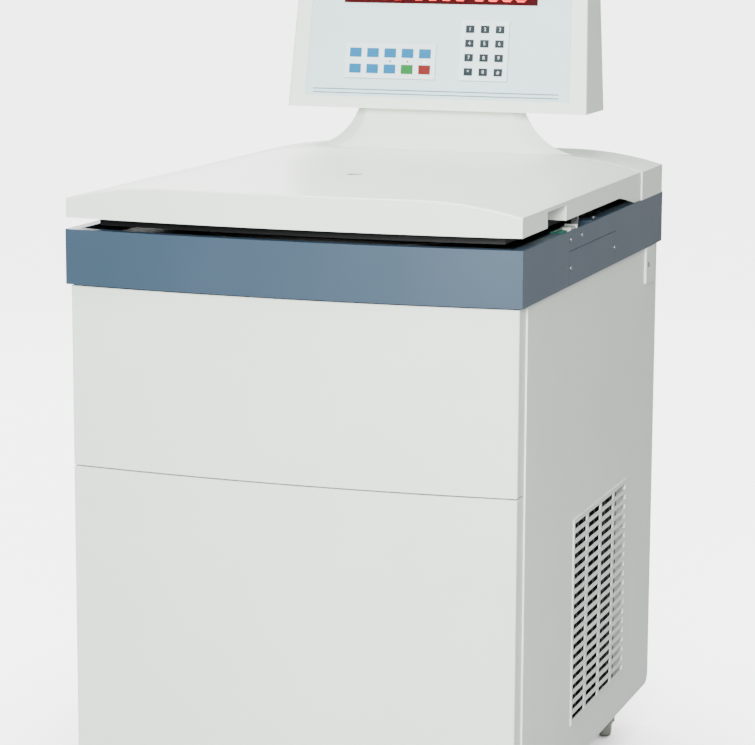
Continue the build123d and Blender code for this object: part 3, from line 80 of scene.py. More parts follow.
def per_mm(size):
    """Texture scale for a feature of that size in millimetres."""
    return 1.0 / (size * MM)


def face_matrix(x, h, out=0.0):
    """Local XY on the console's face: x across, h up it and out ahead of it, in millimetres."""
    place = FACE_ORIGIN + Vector((x * MM, 0, 0)) + FACE_UP * (h * MM) + FACE_OUT * (out * MM)
    across = Vector((1, 0, 0))
    turn = Matrix((across, FACE_UP, FACE_OUT)).transposed().to_4x4()
    return Matrix.Translation(place) @ turn


# Materials. Etched skins, orange peel and tool marks are 0.05 to 0.5 mm on the real surfaces. They are
# drawn 0.5 to 3 mm across, as coarse as they need to be to show in the render.


def add_node(tree, kind, sockets, **settings):
    """Adds a shader node. A socket given another node's output is linked to it, any other value is set."""
    node = tree.nodes.new(kind)
    for key, value in settings.items():
        setattr(node, key, value)
    for key, value in sockets.items():
        if isinstance(value, bpy.types.NodeSocket):
            tree.links.new(value, node.inputs[key])
        else:
            node.inputs[key].default_value = value
    return node


def new_material(name, **values):
    """A material, its tree, its Principled shader with those plain values set, and object coordinates."""
    material = bpy.data.materials.new(name)
    material.use_nodes = True
    tree = material.node_tree
    shader = tree.nodes["Principled BSDF"]
    for key, value in values.items():
        shader.inputs[key.replace("_", " ")].default_value = value
    place = add_node(tree, "ShaderNodeTexCoord", {}).outputs["Object"]
    return material, tree, shader, place


def coated(name, colour, roughness, grain, depth, wander=0.04):
    """Paint, powder coat or moulded skin: fine grain, and a slow wander in colour and gloss."""
    material, tree, shader, place = new_material(name, Metallic=0.0, IOR=1.5)
    slow = add_node(tree, "ShaderNodeTexNoise", {"Vector": place, "Scale": per_mm(140.0)})
    fine = add_node(tree, "ShaderNodeTexNoise", {"Vector": place, "Scale": per_mm(grain), "Detail": 3.0})
    ends = {0: slow.outputs["Fac"], 6: shade(colour, 1 - wander), 7: shade(colour, 1 + wander)}
    paint = add_node(tree, "ShaderNodeMix", ends, data_type="RGBA")
    limits = {"Value": slow.outputs["Fac"], "To Min": roughness - 0.04, "To Max": roughness + 0.05}
    gloss = add_node(tree, "ShaderNodeMapRange", limits)
    relief = {"Height": fine.outputs["Fac"], "Strength": 0.5, "Distance": depth * MM}
    peel = add_node(tree, "ShaderNodeBump", relief)
    tree.links.new(paint.outputs[2], shader.inputs["Base Color"])
    tree.links.new(gloss.outputs["Result"], shader.inputs["Roughness"])
    tree.links.new(peel.outputs["Normal"], shader.inputs["Normal"])
    return material


def metal(name, colour, roughness, stretch, depth, wander=0.08):
    """Bare or plated metal with tool marks: noise drawn out along the marks."""
    material, tree, shader, place = new_material(name, Metallic=1.0)
    drawn = add_node(tree, "ShaderNodeMapping", {"Vector": place, "Scale": stretch})
    grain = {"Vector": drawn.outputs["Vector"], "Scale": per_mm(1.2), "Detail": 3.0}
    marks = add_node(tree, "ShaderNodeTexNoise", grain)
    slow = add_node(tree, "ShaderNodeTexNoise", {"Vector": place, "Scale": per_mm(60.0)})
    ends = {0: slow.outputs["Fac"], 6: shade(colour, 1 - wander), 7: shade(colour, 1 + wander)}
    tone = add_node(tree, "ShaderNodeMix", ends, data_type="RGBA")
    limits = {"Value": marks.outputs["Fac"], "To Min": roughness - 0.08, "To Max": roughness + 0.1}
    gloss = add_node(tree, "ShaderNodeMapRange", limits)
    relief = {"Height": marks.outputs["Fac"], "Strength": 0.35, "Distance": depth * MM}
    lines = add_node(tree, "ShaderNodeBump", relief)
    tree.links.new(tone.outputs[2], shader.inputs["Base Color"])
    tree.links.new(gloss.outputs["Result"], shader.inputs["Roughness"])
    tree.links.new(lines.outputs["Normal"], shader.inputs["Normal"])
    return material


def spun(name, colour, roughness, centre, pitch):
    """Metal spun or turned about an upright axis: fine rings about it."""
    material, tree, shader, place = new_material(name, Metallic=1.0)
    moved = {"Vector": place, "Location": (-centre[0], -centre[1], 0)}
    about = add_node(tree, "ShaderNodeMapping", moved)
    ring = {"Vector": about.outputs["Vector"], "Scale": per_mm(pitch) * WAVE_BAND, "Distortion": 1.5}
    rings = add_node(tree, "ShaderNodeTexWave", ring, wave_type="RINGS", rings_direction="Z")
    slow = add_node(tree, "ShaderNodeTexNoise", {"Vector": place, "Scale": per_mm(80.0)})
    ends = {0: slow.outputs["Fac"], 6: shade(colour, 0.94), 7: shade(colour, 1.06)}
    tone = add_node(tree, "ShaderNodeMix", ends, data_type="RGBA")
    limits = {"Value": rings.outputs["Fac"], "To Min": roughness - 0.05, "To Max": roughness + 0.06}
    gloss = add_node(tree, "ShaderNodeMapRange", limits)
    relief = {"Height": rings.outputs["Fac"], "Strength": 0.3, "Distance": 0.01 * MM}
    grooves = add_node(tree, "ShaderNodeBump", relief)
    tree.links.new(tone.outputs[2], shader.inputs["Base Color"])
    tree.links.new(gloss.outputs["Result"], shader.inputs["Roughness"])
    tree.links.new(grooves.outputs["Normal"], shader.inputs["Normal"])
    return material


def finned(name, colour, pitch):
    """Packed aluminium fins standing upright across the coil: bright fin edges, with painted shade in the
    gaps between them.
    """
    material, tree, shader, place = new_material(name, Metallic=1.0, Roughness=0.45)
    across = {"Vector": place, "Scale": per_mm(pitch) * WAVE_BAND}
    bands = add_node(tree, "ShaderNodeTexWave", across, bands_direction="Y")
    # Painted shade: the gaps between the fins are drawn at an eighth of the fins' colour
    ends = {0: bands.outputs["Fac"], 6: shade(colour, 0.12), 7: colour}
    tone = add_node(tree, "ShaderNodeMix", ends, data_type="RGBA")
    relief = {"Height": bands.outputs["Fac"], "Strength": 0.8, "Distance": 1.5 * MM}
    edges = add_node(tree, "ShaderNodeBump", relief)
    tree.links.new(tone.outputs[2], shader.inputs["Base Color"])
    tree.links.new(edges.outputs["Normal"], shader.inputs["Normal"])
    return material


def cellular(name, colour):
    """Foam with small open cells: dull, and pitted all over."""
    material, tree, shader, place = new_material(name, Roughness=0.9)
    cells = add_node(tree, "ShaderNodeTexVoronoi", {"Vector": place, "Scale": per_mm(3.0)})
    slow = add_node(tree, "ShaderNodeTexNoise", {"Vector": place, "Scale": per_mm(50.0)})
    ends = {0: slow.outputs["Fac"], 6: shade(colour, 0.85), 7: shade(colour, 1.05)}
    tone = add_node(tree, "ShaderNodeMix", ends, data_type="RGBA")
    relief = {"Height": cells.outputs["Distance"], "Strength": 0.8, "Distance": 0.8 * MM}
    pits = add_node(tree, "ShaderNodeBump", relief)
    tree.links.new(tone.outputs[2], shader.inputs["Base Color"])
    tree.links.new(pits.outputs["Normal"], shader.inputs["Normal"])
    return material


def clear_acrylic(name, colour):
    """Polished clear plug: it shows what lies under it, with a trace of tint at its edges."""
    values = {"Roughness": 0.04, "IOR": 1.49, "Transmission_Weight": 0.9}
    material, tree, shader, place = new_material(name, **values)
    slow = add_node(tree, "ShaderNodeTexNoise", {"Vector": place, "Scale": per_mm(30.0)})
    ends = {0: slow.outputs["Fac"], 6: shade(colour, 0.95), 7: shade(colour, 1.05)}
    tone = add_node(tree, "ShaderNodeMix", ends, data_type="RGBA")
    tree.links.new(tone.outputs[2], shader.inputs["Base Color"])
    return material


def display_filter(name, colour):
    """Dark red acrylic filter: glossy, with faint light from the cells behind it."""
    values = {"Roughness": 0.12, "IOR": 1.49, "Emission_Strength": 0.8}
    material, tree, shader, place = new_material(name, **values)
    cells = add_node(tree, "ShaderNodeTexNoise", {"Vector": place, "Scale": per_mm(4.0)})
    ends = {0: cells.outputs["Fac"], 6: shade(colour, 0.6), 7: shade(colour, 1.6)}
    tone = add_node(tree, "ShaderNodeMix", ends, data_type="RGBA")
    tree.links.new(tone.outputs[2], shader.inputs["Base Color"])
    tree.links.new(tone.outputs[2], shader.inputs["Emission Color"])
    return material


def lit(name, colour, strength):
    """Lit display segment, a little uneven from cell to cell."""
    material, tree, shader, place = new_material(name, Base_Color=colour, Emission_Color=colour)
    cells = add_node(tree, "ShaderNodeTexNoise", {"Vector": place, "Scale": per_mm(12.0)})
    limits = {"Value": cells.outputs["Fac"], "To Min": strength * 0.8, "To Max": strength * 1.2}
    glow = add_node(tree, "ShaderNodeMapRange", limits)
    tree.links.new(glow.outputs["Result"], shader.inputs["Emission Strength"])
    return material


def studio_paper(name, colour, glow):
    """Matt studio paper, overexposed to near white, with a painted contact shadow: its glow is dimmed
    close to what stands on it.
    """
    values = {"Roughness": 0.8, "Emission_Color": srgb("#FFFFFF")}
    material, tree, shader, place = new_material(name, **values)
    slow = add_node(tree, "ShaderNodeTexNoise", {"Vector": place, "Scale": per_mm(200.0)})
    ends = {0: slow.outputs["Fac"], 6: shade(colour, 0.98), 7: shade(colour, 1.02)}
    tone = add_node(tree, "ShaderNodeMix", ends, data_type="RGBA")
    ray = add_node(tree, "ShaderNodeLightPath", {})
    limits = {"Value": ray.outputs["Is Camera Ray"], "To Min": 0.0, "To Max": glow}
    seen = add_node(tree, "ShaderNodeMapRange", limits)
    # Painted contact shadow: the floor's glow is multiplied by ambient occlusion, so it darkens under and
    # beside the machine
    near = add_node(tree, "ShaderNodeAmbientOcclusion", {"Distance": 0.6}, samples=16)
    parts = {0: seen.outputs["Result"], 1: near.outputs["AO"]}
    bright = add_node(tree, "ShaderNodeMath", parts, operation="MULTIPLY")
    tree.links.new(tone.outputs[2], shader.inputs["Base Color"])
    tree.links.new(bright.outputs["Value"], shader.inputs["Emission Strength"])
    return material


# Meshes


def finish_mesh(bm, name, material):
    """Turns a bmesh into a piece that rides on the cabinet."""
    bmesh.ops.recalc_face_normals(bm, faces=bm.faces)
    mesh = bpy.data.meshes.new(name)
    bm.to_mesh(mesh)
    bm.free()
    mesh.materials.append(material)
    piece = bpy.data.objects.new(name, mesh)
    bpy.context.scene.collection.objects.link(piece)
    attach(piece, ROOT)


def add_box(bm, matrix, size, edge=0.0):
    """Box of that size in millimetres, its base on the matrix's XY plane, with bevelled edges."""
    lift = Matrix.Translation((0, 0, size[2] * MM / 2))
    scale = Matrix.Diagonal([s * MM for s in size]).to_4x4()
    made = bmesh.ops.create_cube(bm, size=1.0, matrix=matrix @ lift @ scale)
    if edge:
        edges = list({e for v in made["verts"] for e in v.link_edges})
        bmesh.ops.bevel(
            bm, geom=edges, offset=edge * MM, segments=2, affect="EDGES", profile=0.5, material=-1
        )


def add_prism(bm, matrix, points, height):
    """Flat polygon of millimetre points on the matrix's XY plane, raised by a height."""
    base = [bm.verts.new(matrix @ Vector((x * MM, y * MM, 0))) for x, y in points]
    face = bm.faces.new(base)
    raised = bmesh.ops.extrude_face_region(bm, geom=[face])
    move = matrix.to_3x3() @ Vector((0, 0, height * MM))
    tops = [v for v in raised["geom"] if isinstance(v, bmesh.types.BMVert)]
    bmesh.ops.translate(bm, verts=tops, vec=move)


def add_disc(bm, matrix, radius, height, sides=24, edge=0.0):
    """Cylinder standing on the matrix's XY plane, in millimetres."""
    lift = Matrix.Translation((0, 0, height * MM / 2))
    made = bmesh.ops.create_cone(
        bm,
        cap_ends=True,
        segments=sides,
        radius1=radius * MM,
        radius2=radius * MM,
        depth=height * MM,
        matrix=matrix @ lift,
    )
    if edge:
        top = matrix.to_3x3() @ Vector((0, 0, 1))
        base = matrix.translation
        rim = [
            e
            for e in {e for v in made["verts"] for e in v.link_edges}
            if all((v.co - base).dot(top) > height * MM * 0.9 for v in e.verts)
        ]
        bmesh.ops.bevel(
            bm, geom=rim, offset=edge * MM, segments=2, affect="EDGES", profile=0.5, material=-1
        )


def lettering(text, size, matrix, depth):
    """A mesh of one raised word, centred on the matrix's origin."""
    curve = bpy.data.curves.new("word", "FONT")
    curve.body = text
    curve.size = size * MM
    curve.extrude = depth * MM
    curve.align_x = "CENTER"
    curve.align_y = "CENTER"
    holder = bpy.data.objects.new("word", curve)
    bpy.context.scene.collection.objects.link(holder)
    bpy.context.view_layer.update()
    mesh = bpy.data.meshes.new_from_object(holder)
    bpy.data.objects.remove(holder)
    mesh.transform(matrix)
    return mesh


# Settings


class FinishSettings(bpy.types.PropertyGroup):
    """Paint and plastic of the machine."""

    white: bpy.props.FloatVectorProperty(
        name="White coat",
        description="Powder coat of the panels",
        default=srgb("#DAE4DB"),
        size=4,
        min=0.0,
        max=1.0,
        subtype="COLOR",
    )
    blue: bpy.props.FloatVectorProperty(
        name="Collar coat",
        description="Powder coat of the collar band",
        default=srgb("#2E4151"),
        size=4,
        min=0.0,
        max=1.0,
        subtype="COLOR",
    )
    plastic: bpy.props.FloatVectorProperty(
        name="White plastic",
        description="Moulded skin of lid and console",
        default=srgb("#DEE8DC"),
        size=4,
        min=0.0,
        max=1.0,
        subtype="COLOR",
    )
    grain: bpy.props.FloatProperty(
        name="Orange peel",
        description="Size of the powder coat's ripples, as drawn",
        default=0.0016,
        min=0.0001,
        subtype="DISTANCE",
    )


class ConsoleSettings(bpy.types.PropertyGroup):
    """Keys and display of the console."""

    led_low: bpy.props.FloatProperty(
        name="Digit foot",
        description="Height of the digits' feet up the console's face",
        default=0.188,
        subtype="DISTANCE",
    )
    led_height: bpy.props.FloatProperty(
        name="Digit height",
        description="Height of a lit digit",
        default=0.030,
        min=0.005,
        subtype="DISTANCE",
    )
    led_glow: bpy.props.FloatProperty(
        name="Glow", description="Brightness of a lit segment", default=3.2, min=0.0
    )
    figure_size: bpy.props.FloatProperty(
        name="Key figure",
        description="Height of the figures on the number keys",
        default=0.008,
        min=0.001,
        subtype="DISTANCE",
    )


class StudioSettings(bpy.types.PropertyGroup):
    """Camera, lights and floor."""

    place: bpy.props.FloatVectorProperty(
        name="Camera place",
        description="Camera position in the frame",
        default=(1.4859, -4.2534, 1.4739),
        subtype="TRANSLATION",
    )
    yaw: bpy.props.FloatProperty(
        name="Yaw",
        description="Camera turned left of straight back",
        default=math.radians(19.40),
        subtype="ANGLE",
    )
    pitch: bpy.props.FloatProperty(
        name="Pitch", description="Camera tipped down", default=math.radians(9.97), subtype="ANGLE"
    )
    roll: bpy.props.FloatProperty(
        name="Roll", description="Camera rolled", default=math.radians(0.23), subtype="ANGLE"
    )
    lens: bpy.props.FloatProperty(
        name="Lens",
        description="Focal length on a 36 mm wide sensor",
        default=132.9,
        min=10.0,
        unit="CAMERA",
    )
    shift: bpy.props.FloatProperty(
        name="Shift", description="Sideways shift of the picture", default=0.007
    )
    power: bpy.props.FloatProperty(
        name="Light power", description="Scales all lamps", default=1.0, min=0.0
    )
    ambient: bpy.props.FloatProperty(
        name="Ambient", description="Brightness of the room", default=0.3, min=0.0
    )
    floor_glow: bpy.props.FloatProperty(
        name="Floor glow",
        description="How far the floor and backdrop are overexposed",
        default=4.5,
        min=0.0,
    )


# Operators


def dress(nodes, material):
    """Puts a material on nodes of the frame."""
    for name in nodes:
        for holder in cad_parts[name].material_slots:
            holder.material = material


class FinishBody(bpy.types.Operator):
    """Finish the cabinet's panels, collar, lid and console housing"""

    bl_idname = "centrifuge.finish_body"
    bl_label = "Finish bodywork"

    def execute(self, context):
        s = context.scene.centrifuge_finish
        grain = s.grain / MM
        # Powder-coated sheet steel: satin, with an orange peel that softens its highlights
        white = coated("powder coated steel white", s.white, 0.42, grain, 0.03)
        dress(["side_panel_left", "side_panel_right", "side_cover_plate", "rear_panel"], white)
        dress(["lower_front_panel", "upper_front_panel"], white)
        # The same coat in blue grey
        blue = coated("powder coated steel blue grey", s.blue, 0.40, grain, 0.03)
        dress(["collar", "collar_access_plate", "lock_keeper"], blue)
        # Moulded ABS: even satin with a finely etched grain
        plastic = coated("moulded ABS white", s.plastic, 0.38, 0.7, 0.02, 0.02)
        dress(["lid_shell", "rear_cover", "neck", "console_bezel", "console_back"], plastic)
        # Moulded ABS, a little duller than the lid
        grille = coated("moulded ABS grille", srgb("#D6DFD8"), 0.45, 0.7, 0.02, 0.02)
        dress(["side_grille"], grille)
        return {"FINISHED"}


class FinishLid(bpy.types.Operator):
    """Finish the lid's underside, its hinges and springs, and the lock"""

    bl_idname = "centrifuge.finish_lid"
    bl_label = "Finish lid works"

    def execute(self, context):
        # Vacuum-formed ABS pan: black, with a leathery skin
        liner = coated("vacuum formed ABS black", srgb("#141516"), 0.5, 0.8, 0.03)
        dress(["lid_liner"], liner)
        # Zinc-plated steel plate: pale grey, with faint rolling lines
        zinc = metal("zinc plated steel plate", srgb("#A9ADB0"), 0.36, (1, 1, 0.2), 0.02)
        dress(["lid_frame", "lid_striker", "hinge_brackets"], zinc)
        # Ground and chromed steel: near mirror, with fine marks round it
        rod = metal("ground chromed steel", srgb("#C4C7CA"), 0.16, (0.3, 1, 1), 0.004)
        dress(["gas_rod_left", "gas_rod_right", "lock_bolt", "spindle"], rod)
        # Stove-enamelled tube: glossy black with a slight ripple
        tube = coated("stove enamelled tube black", srgb("#0E0F10"), 0.3, 2.0, 0.01)
        dress(["gas_cylinder_left", "gas_cylinder_right"], tube)
        # Cast and polished acrylic: clear
        dress(["sight_window"], clear_acrylic("polished cast acrylic", srgb("#C9D2D0")))
        # Injection-moulded nylon: smooth and waxy
        dress(["lock_solenoid"], coated("moulded nylon cream", srgb("#DDE3DC"), 0.4, 0.6, 0.02))
        dress(["terminal_board"], coated("moulded nylon green", srgb("#17705A"), 0.42, 0.6, 0.02))
        # Zinc-plated pan-head screws, dulled by handling
        screws = metal("zinc plated screws", srgb("#7F888C"), 0.45, (1, 1, 1), 0.01)
        dress(["panel_screws"], screws)
        return {"FINISHED"}


class FinishChamber(bpy.types.Operator):
    """Finish the deck, the chamber and the rotor"""

    bl_idname = "centrifuge.finish_chamber"
    bl_label = "Finish chamber"

    def execute(self, context):
        # Textured powder coat: matt black with a coarse grain
        deck = coated("textured powder coat black", srgb("#131416"), 0.55, 1.2, 0.08)
        dress(["inner_deck"], deck)
        # Deep-drawn and spun stainless steel: soft gloss with fine rings
        bowl = spun("spun stainless steel", srgb("#C4C7C9"), 0.34, CHAMBER_AXIS, 1.5)
        dress(["chamber_bowl"], bowl)
        # Moulded EPDM rubber: matt, slightly bloomed
        dress(["chamber_gasket"], coated("moulded rubber black", srgb("#101011"), 0.7, 0.9, 0.04))
        # Turned and anodised aluminium: silky grey with turning rings
        rotor = spun("turned anodised aluminium", srgb("#9AA0A6"), 0.34, CHAMBER_AXIS, 0.8)
        dress(["rotor"], rotor)
        # The same with a dark dye
        knob = spun("dark anodised aluminium", srgb("#3A3D41"), 0.28, CHAMBER_AXIS, 0.6)
        dress(["rotor_knob"], knob)
        # Polyurethane cast in place: dull yellow with open cells
        dress(["foam_insulation"], cellular("cast polyurethane foam", srgb("#DCCB8A")))
        # Rolled plate with its mill scale: dark grey, with rolling lines up it
        ring = metal("rolled steel plate", srgb("#6E7174"), 0.45, (1, 1, 0.15), 0.05)
        dress(["guard_ring"], ring)
        # Laser-cut plate: clean grey, with rolling lines across it
        plate = metal("laser cut steel plate", srgb("#8A8D8F"), 0.4, (0.2, 1, 1), 0.04)
        dress(["chamber_plate"], plate)
        return {"FINISHED"}


class FinishWorks(bpy.types.Operator):
    """Finish the chassis, the drive and the cooling unit"""

    bl_idname = "centrifuge.finish_works"
    bl_label = "Finish drive and cooling"

    def execute(self, context):
        # Sprayed primer over welded tube: flat dark grey with some spatter
        primer = coated("primed welded tube", srgb("#3B3E41"), 0.5, 2.5, 0.06)
        dress(["chassis_frame"], primer)
        # Machine enamel: mid grey with a soft gloss
        dress(["drive_motor"], coated("grey machine enamel", srgb("#565C61"), 0.35, 2.0, 0.03))
        # Dipped enamel: glossy black with long ripples
        dress(["compressor"], coated("dipped black enamel", srgb("#0B0C0D"), 0.22, 3.0, 0.02))
        # Pressed aluminium fins, 2.2 mm apart as drawn
        dress(["condenser"], finned("pressed aluminium fins", srgb("#74787A"), 2.2))
        # Glass-filled nylon: matt black with a dry skin
        nylon = coated("glass filled nylon", srgb("#17181A"), 0.5, 0.8, 0.03)
        dress(["condenser_fan", "fan_shroud"], nylon)
        # Die-cast aluminium: dull silver with a grainy cast skin
        cast = metal("die cast aluminium", srgb("#8F9396"), 0.5, (1, 1, 1), 0.08)
        dress(["inverter_drive"], cast)
        # Drawn copper tube, a little tarnished
        tube = metal("drawn copper tube", srgb("#B87350"), 0.3, (1, 1, 0.2), 0.01, 0.15)
        dress(["refrigerant_circuit"], tube)
        # Moulded rubber: matt black
        dress(["rubber_mounts"], coated("moulded mount rubber", srgb("#161617"), 0.75, 1.0, 0.05))
        # Moulded nylon: smooth black
        inlet = coated("moulded nylon black", srgb("#111213"), 0.35, 0.6, 0.02)
        dress(["power_inlet", "switch_rocker"], inlet)
        return {"FINISHED"}


class FinishCasters(bpy.types.Operator):
    """Finish the casters"""

    bl_idname = "centrifuge.finish_casters"
    bl_label = "Finish casters"

    def execute(self, context):
        # Painted pressings in the cabinet's grey
        pressed = coated("painted pressed steel", srgb("#BCC4BA"), 0.42, 1.6, 0.03)
        dress(["caster_plates"] + [f"caster_fork_{c}" for c in CASTERS], pressed)
        # Moulded grey rubber tread: matt
        tread = coated("moulded grey rubber", srgb("#AFB6AD"), 0.6, 1.0, 0.05)
        dress([f"caster_wheel_{c}" for c in CASTERS], tread)
        return {"FINISHED"}


class PrintConsole(bpy.types.Operator):
    """Print the console's film: lines, lamps and mark, and paint the key films' shadows"""

    bl_idname = "centrifuge.print_console"
    bl_label = "Print console"

    def execute(self, context):
        # Screen-printed polyester film: smooth, pale blue
        film = coated("printed polyester film", srgb("#C4DADC"), 0.3, 0.5, 0.01, 0.02)
        dress(["console_overlay"], film)
        # The key films are lighter
        card = coated("printed key film", srgb("#D6E8E8"), 0.28, 0.5, 0.01, 0.02)
        dress(["keypads"], card)

        # Two lines in grey ink along the film's foot
        line = coated("grey ink line", srgb("#4E6F7C"), 0.35, 0.5, 0.01)
        line_size = (441, 1.7, 0.1)
        bm = bmesh.new()
        for h in (32.0, 25.5):
            add_box(bm, face_matrix(-2.5, h, 0.02), line_size)
        finish_mesh(bm, "console_lines", line)

        # Painted shadow: a grey strip right of and below each key film, standing in for the shade the
        # raised film casts on the overlay
        edge = coated("painted shadow grey", srgb("#8DA2A4"), 0.4, 0.5, 0.01)
        painted_shadow_width, painted_shadow_height = 1.3, 0.25
        # Left edge, lower edge, width and height of the two key films
        cards = ((-166.7, 52.0, 163.6, 59.8), (40.5, 52.1, 85.2, 102.0))
        bm = bmesh.new()
        for x, h, w, tall in cards:
            below = face_matrix(x + w / 2 + 0.6, h - 0.7, 0.02)
            add_box(bm, below, (w, painted_shadow_width, painted_shadow_height))
            beside = face_matrix(x + w + 0.7, h + tall / 2 - 0.6, 0.02)
            add_box(bm, beside, (painted_shadow_width, tall, painted_shadow_height))
        finish_mesh(bm, "card_shadows", edge)

        # Two dark lamp dots and a white mark over the keys
        dot = coated("black ink dot", srgb("#22292D"), 0.3, 0.5, 0.01)
        ink_height = 0.15
        bm = bmesh.new()
        for x in (-84.5, -52.9):
            add_disc(bm, face_matrix(x, 81.5, FILM_TOP), 1.5, ink_height)
        finish_mesh(bm, "console_dots", dot)
        mark = coated("white ink mark", srgb("#F4F7F7"), 0.3, 0.5, 0.01)
        wedge = [(-6.5, 0), (6.5, 0), (0, 6.5)]
        bm = bmesh.new()
        add_prism(bm, face_matrix(-22.0, 78.4, FILM_TOP), wedge, ink_height)
        finish_mesh(bm, "console_mark", mark)
        return {"FINISHED"}


def key_boxes(kind):
    """Left edge, lower edge, width and height of each key of a kind, in millimetres on the face."""
    if kind == "slate":
        return [(49.0 + 26.6 * i, 60.6 + 24.2 * j, 15.0, 12.4) for j in range(4) for i in range(3)]
    special = {(3, 0): "green", (4, 0): "red"}
    return [
        (-158.2 + 31.4 * i, 60.5 + 27.5 * j, 21.0, 15.3)
        for j in range(2)
        for i in range(5)
        if special.get((i, j), "blue") == kind
    ]


class AddKeys(bpy.types.Operator):
    """Cap the keys in their printed colours and add plain figures to the number keys"""

    bl_idname = "centrifuge.add_keys"
    bl_label = "Add keys"

    def execute(self, context):
        s = context.scene.centrifuge_console
        # Polyester film printed from behind: even colour under a soft gloss
        colours = {"blue": "#00628F", "green": "#0E6A2A", "red": "#6A0606", "slate": "#0C2026"}
        overlap = 0.3
        for kind, code in colours.items():
            bm = bmesh.new()
            for x, h, w, tall in key_boxes(kind):
                matrix = face_matrix(x + w / 2, h + tall / 2, FILM_TOP)
                add_box(bm, matrix, (w + overlap, tall + overlap, CAP_HEIGHT), 0.25)
            ink = coated(f"printed key {kind}", srgb(code), 0.34, 0.5, 0.01, 0.03)
            finish_mesh(bm, f"keys_{kind}", ink)
        # White ink, a little raised
        white = coated("white ink figure", srgb("#EEF3F3"), 0.4, 0.5, 0.01)
        figures = ["*", "0", "#", "7", "8", "9", "4", "5", "6", "1", "2", "3"]
        bm = bmesh.new()
        for text, (x, h, w, tall) in zip(figures, key_boxes("slate")):
            matrix = face_matrix(x + w / 2, h + tall / 2, FILM_TOP + CAP_HEIGHT + 0.02)
            word = lettering(text, s.figure_size / MM, matrix, 0.04)
            bm.from_mesh(word)
            bpy.data.meshes.remove(word)
        # A letter's front, back and rim come apart, so they are joined
        bmesh.ops.remove_doubles(bm, verts=bm.verts, dist=0.002 * MM)
        finish_mesh(bm, "key_figures", white)
        return {"FINISHED"}


def segment_outline(length, thick):
    """Six-sided bar of a seven-segment digit, centred, lying along X."""
    half = length / 2
    tip = thick / 2
    right = [(half - tip, -tip), (half, 0), (half - tip, tip)]
    return right + [(-x, -y) for x, y in right]


class AddDisplay(bpy.types.Operator):
    """Finish the display window and add its lit digits"""

    bl_idname = "centrifuge.add_display"
    bl_label = "Add display"

    def execute(self, context):
        s = context.scene.centrifuge_console
        dress(["led_window"], display_filter("dark red acrylic filter", srgb("#34080A")))
        tall = s.led_height / MM
        foot = s.led_low / MM
        wide = tall * 0.52
        half = tall / 2
        pitch = tall * 0.82
        halo_thick, bar_thick = tall * 0.26, tall * 0.09
        halo_past = 3.6
        # Place and turn of the six bars of a nought
        bars = [
            (0, half, 0),
            (0, -half, 0),
            (-wide / 2, half / 2, 90),
            (wide / 2, half / 2, 90),
            (-wide / 2, -half / 2, 90),
            (wide / 2, -half / 2, 90),
        ]
        halo = bmesh.new()
        core = bmesh.new()
        for start in (-158.0, -46.0, 62.0):
            for place in range(4):
                x = start + wide / 2 + place * pitch
                for dx, dy, turn in bars:
                    spin = Matrix.Rotation(math.radians(turn), 4, "Z")
                    shift = Matrix.Translation((dx * MM, dy * MM, 0)) @ spin
                    length = (wide if turn == 0 else half) - 1.2
                    under = face_matrix(x, foot + half, 0.6) @ shift
                    over = face_matrix(x, foot + half, 0.72) @ shift
                    add_prism(halo, under, segment_outline(length + halo_past, halo_thick), 0.08)
                    add_prism(core, over, segment_outline(length, bar_thick), 0.1)
        # Light scattered in the filter round each segment, and the segment itself
        glow = lit("scattered red light", srgb("#FF1410"), s.led_glow * 0.16)
        finish_mesh(halo, "display_halo", glow)
        digit = lit("lit red segment", srgb("#FF2018"), s.led_glow)
        finish_mesh(core, "display_digits", digit)
        return {"FINISHED"}


class AddFasteners(bpy.types.Operator):
    """Add the rear panel's screws and the casters' bolts"""

    bl_idname = "centrifuge.add_fasteners"
    bl_label = "Add fasteners"

    def execute(self, context):
        # Zinc-plated heads: bright, slightly blue grey
        zinc = metal("zinc plated fasteners", srgb("#B0B4B6"), 0.32, (1, 1, 1), 0.01)
        edge_x, rear_y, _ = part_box("rear_panel")[1]
        side = edge_x - 0.014
        rearward = Matrix.Rotation(math.radians(-90), 4, "X")
        bm = bmesh.new()
        for x in (-side, 0.0, side):
            for z in (0.11, 0.36, 0.61, 0.845):
                add_disc(bm, Matrix.Translation((x, rear_y, z)) @ rearward, 4.5, 1.6, 20, 0.8)
        finish_mesh(bm, "rear_panel_screws", zinc)

        downward = Matrix.Rotation(math.pi, 4, "X")
        offset = 0.023
        bm = bmesh.new()
        for x, y in KINGPINS:
            for dx in (-offset, offset):
                for dy in (-offset, offset):
                    place = Matrix.Translation((x + dx, y + dy, CASTER_PLATE_UNDERSIDE))
                    add_disc(bm, place @ downward, 5.0, 3.5, 6)
        finish_mesh(bm, "caster_bolts", zinc)
        return {"FINISHED"}


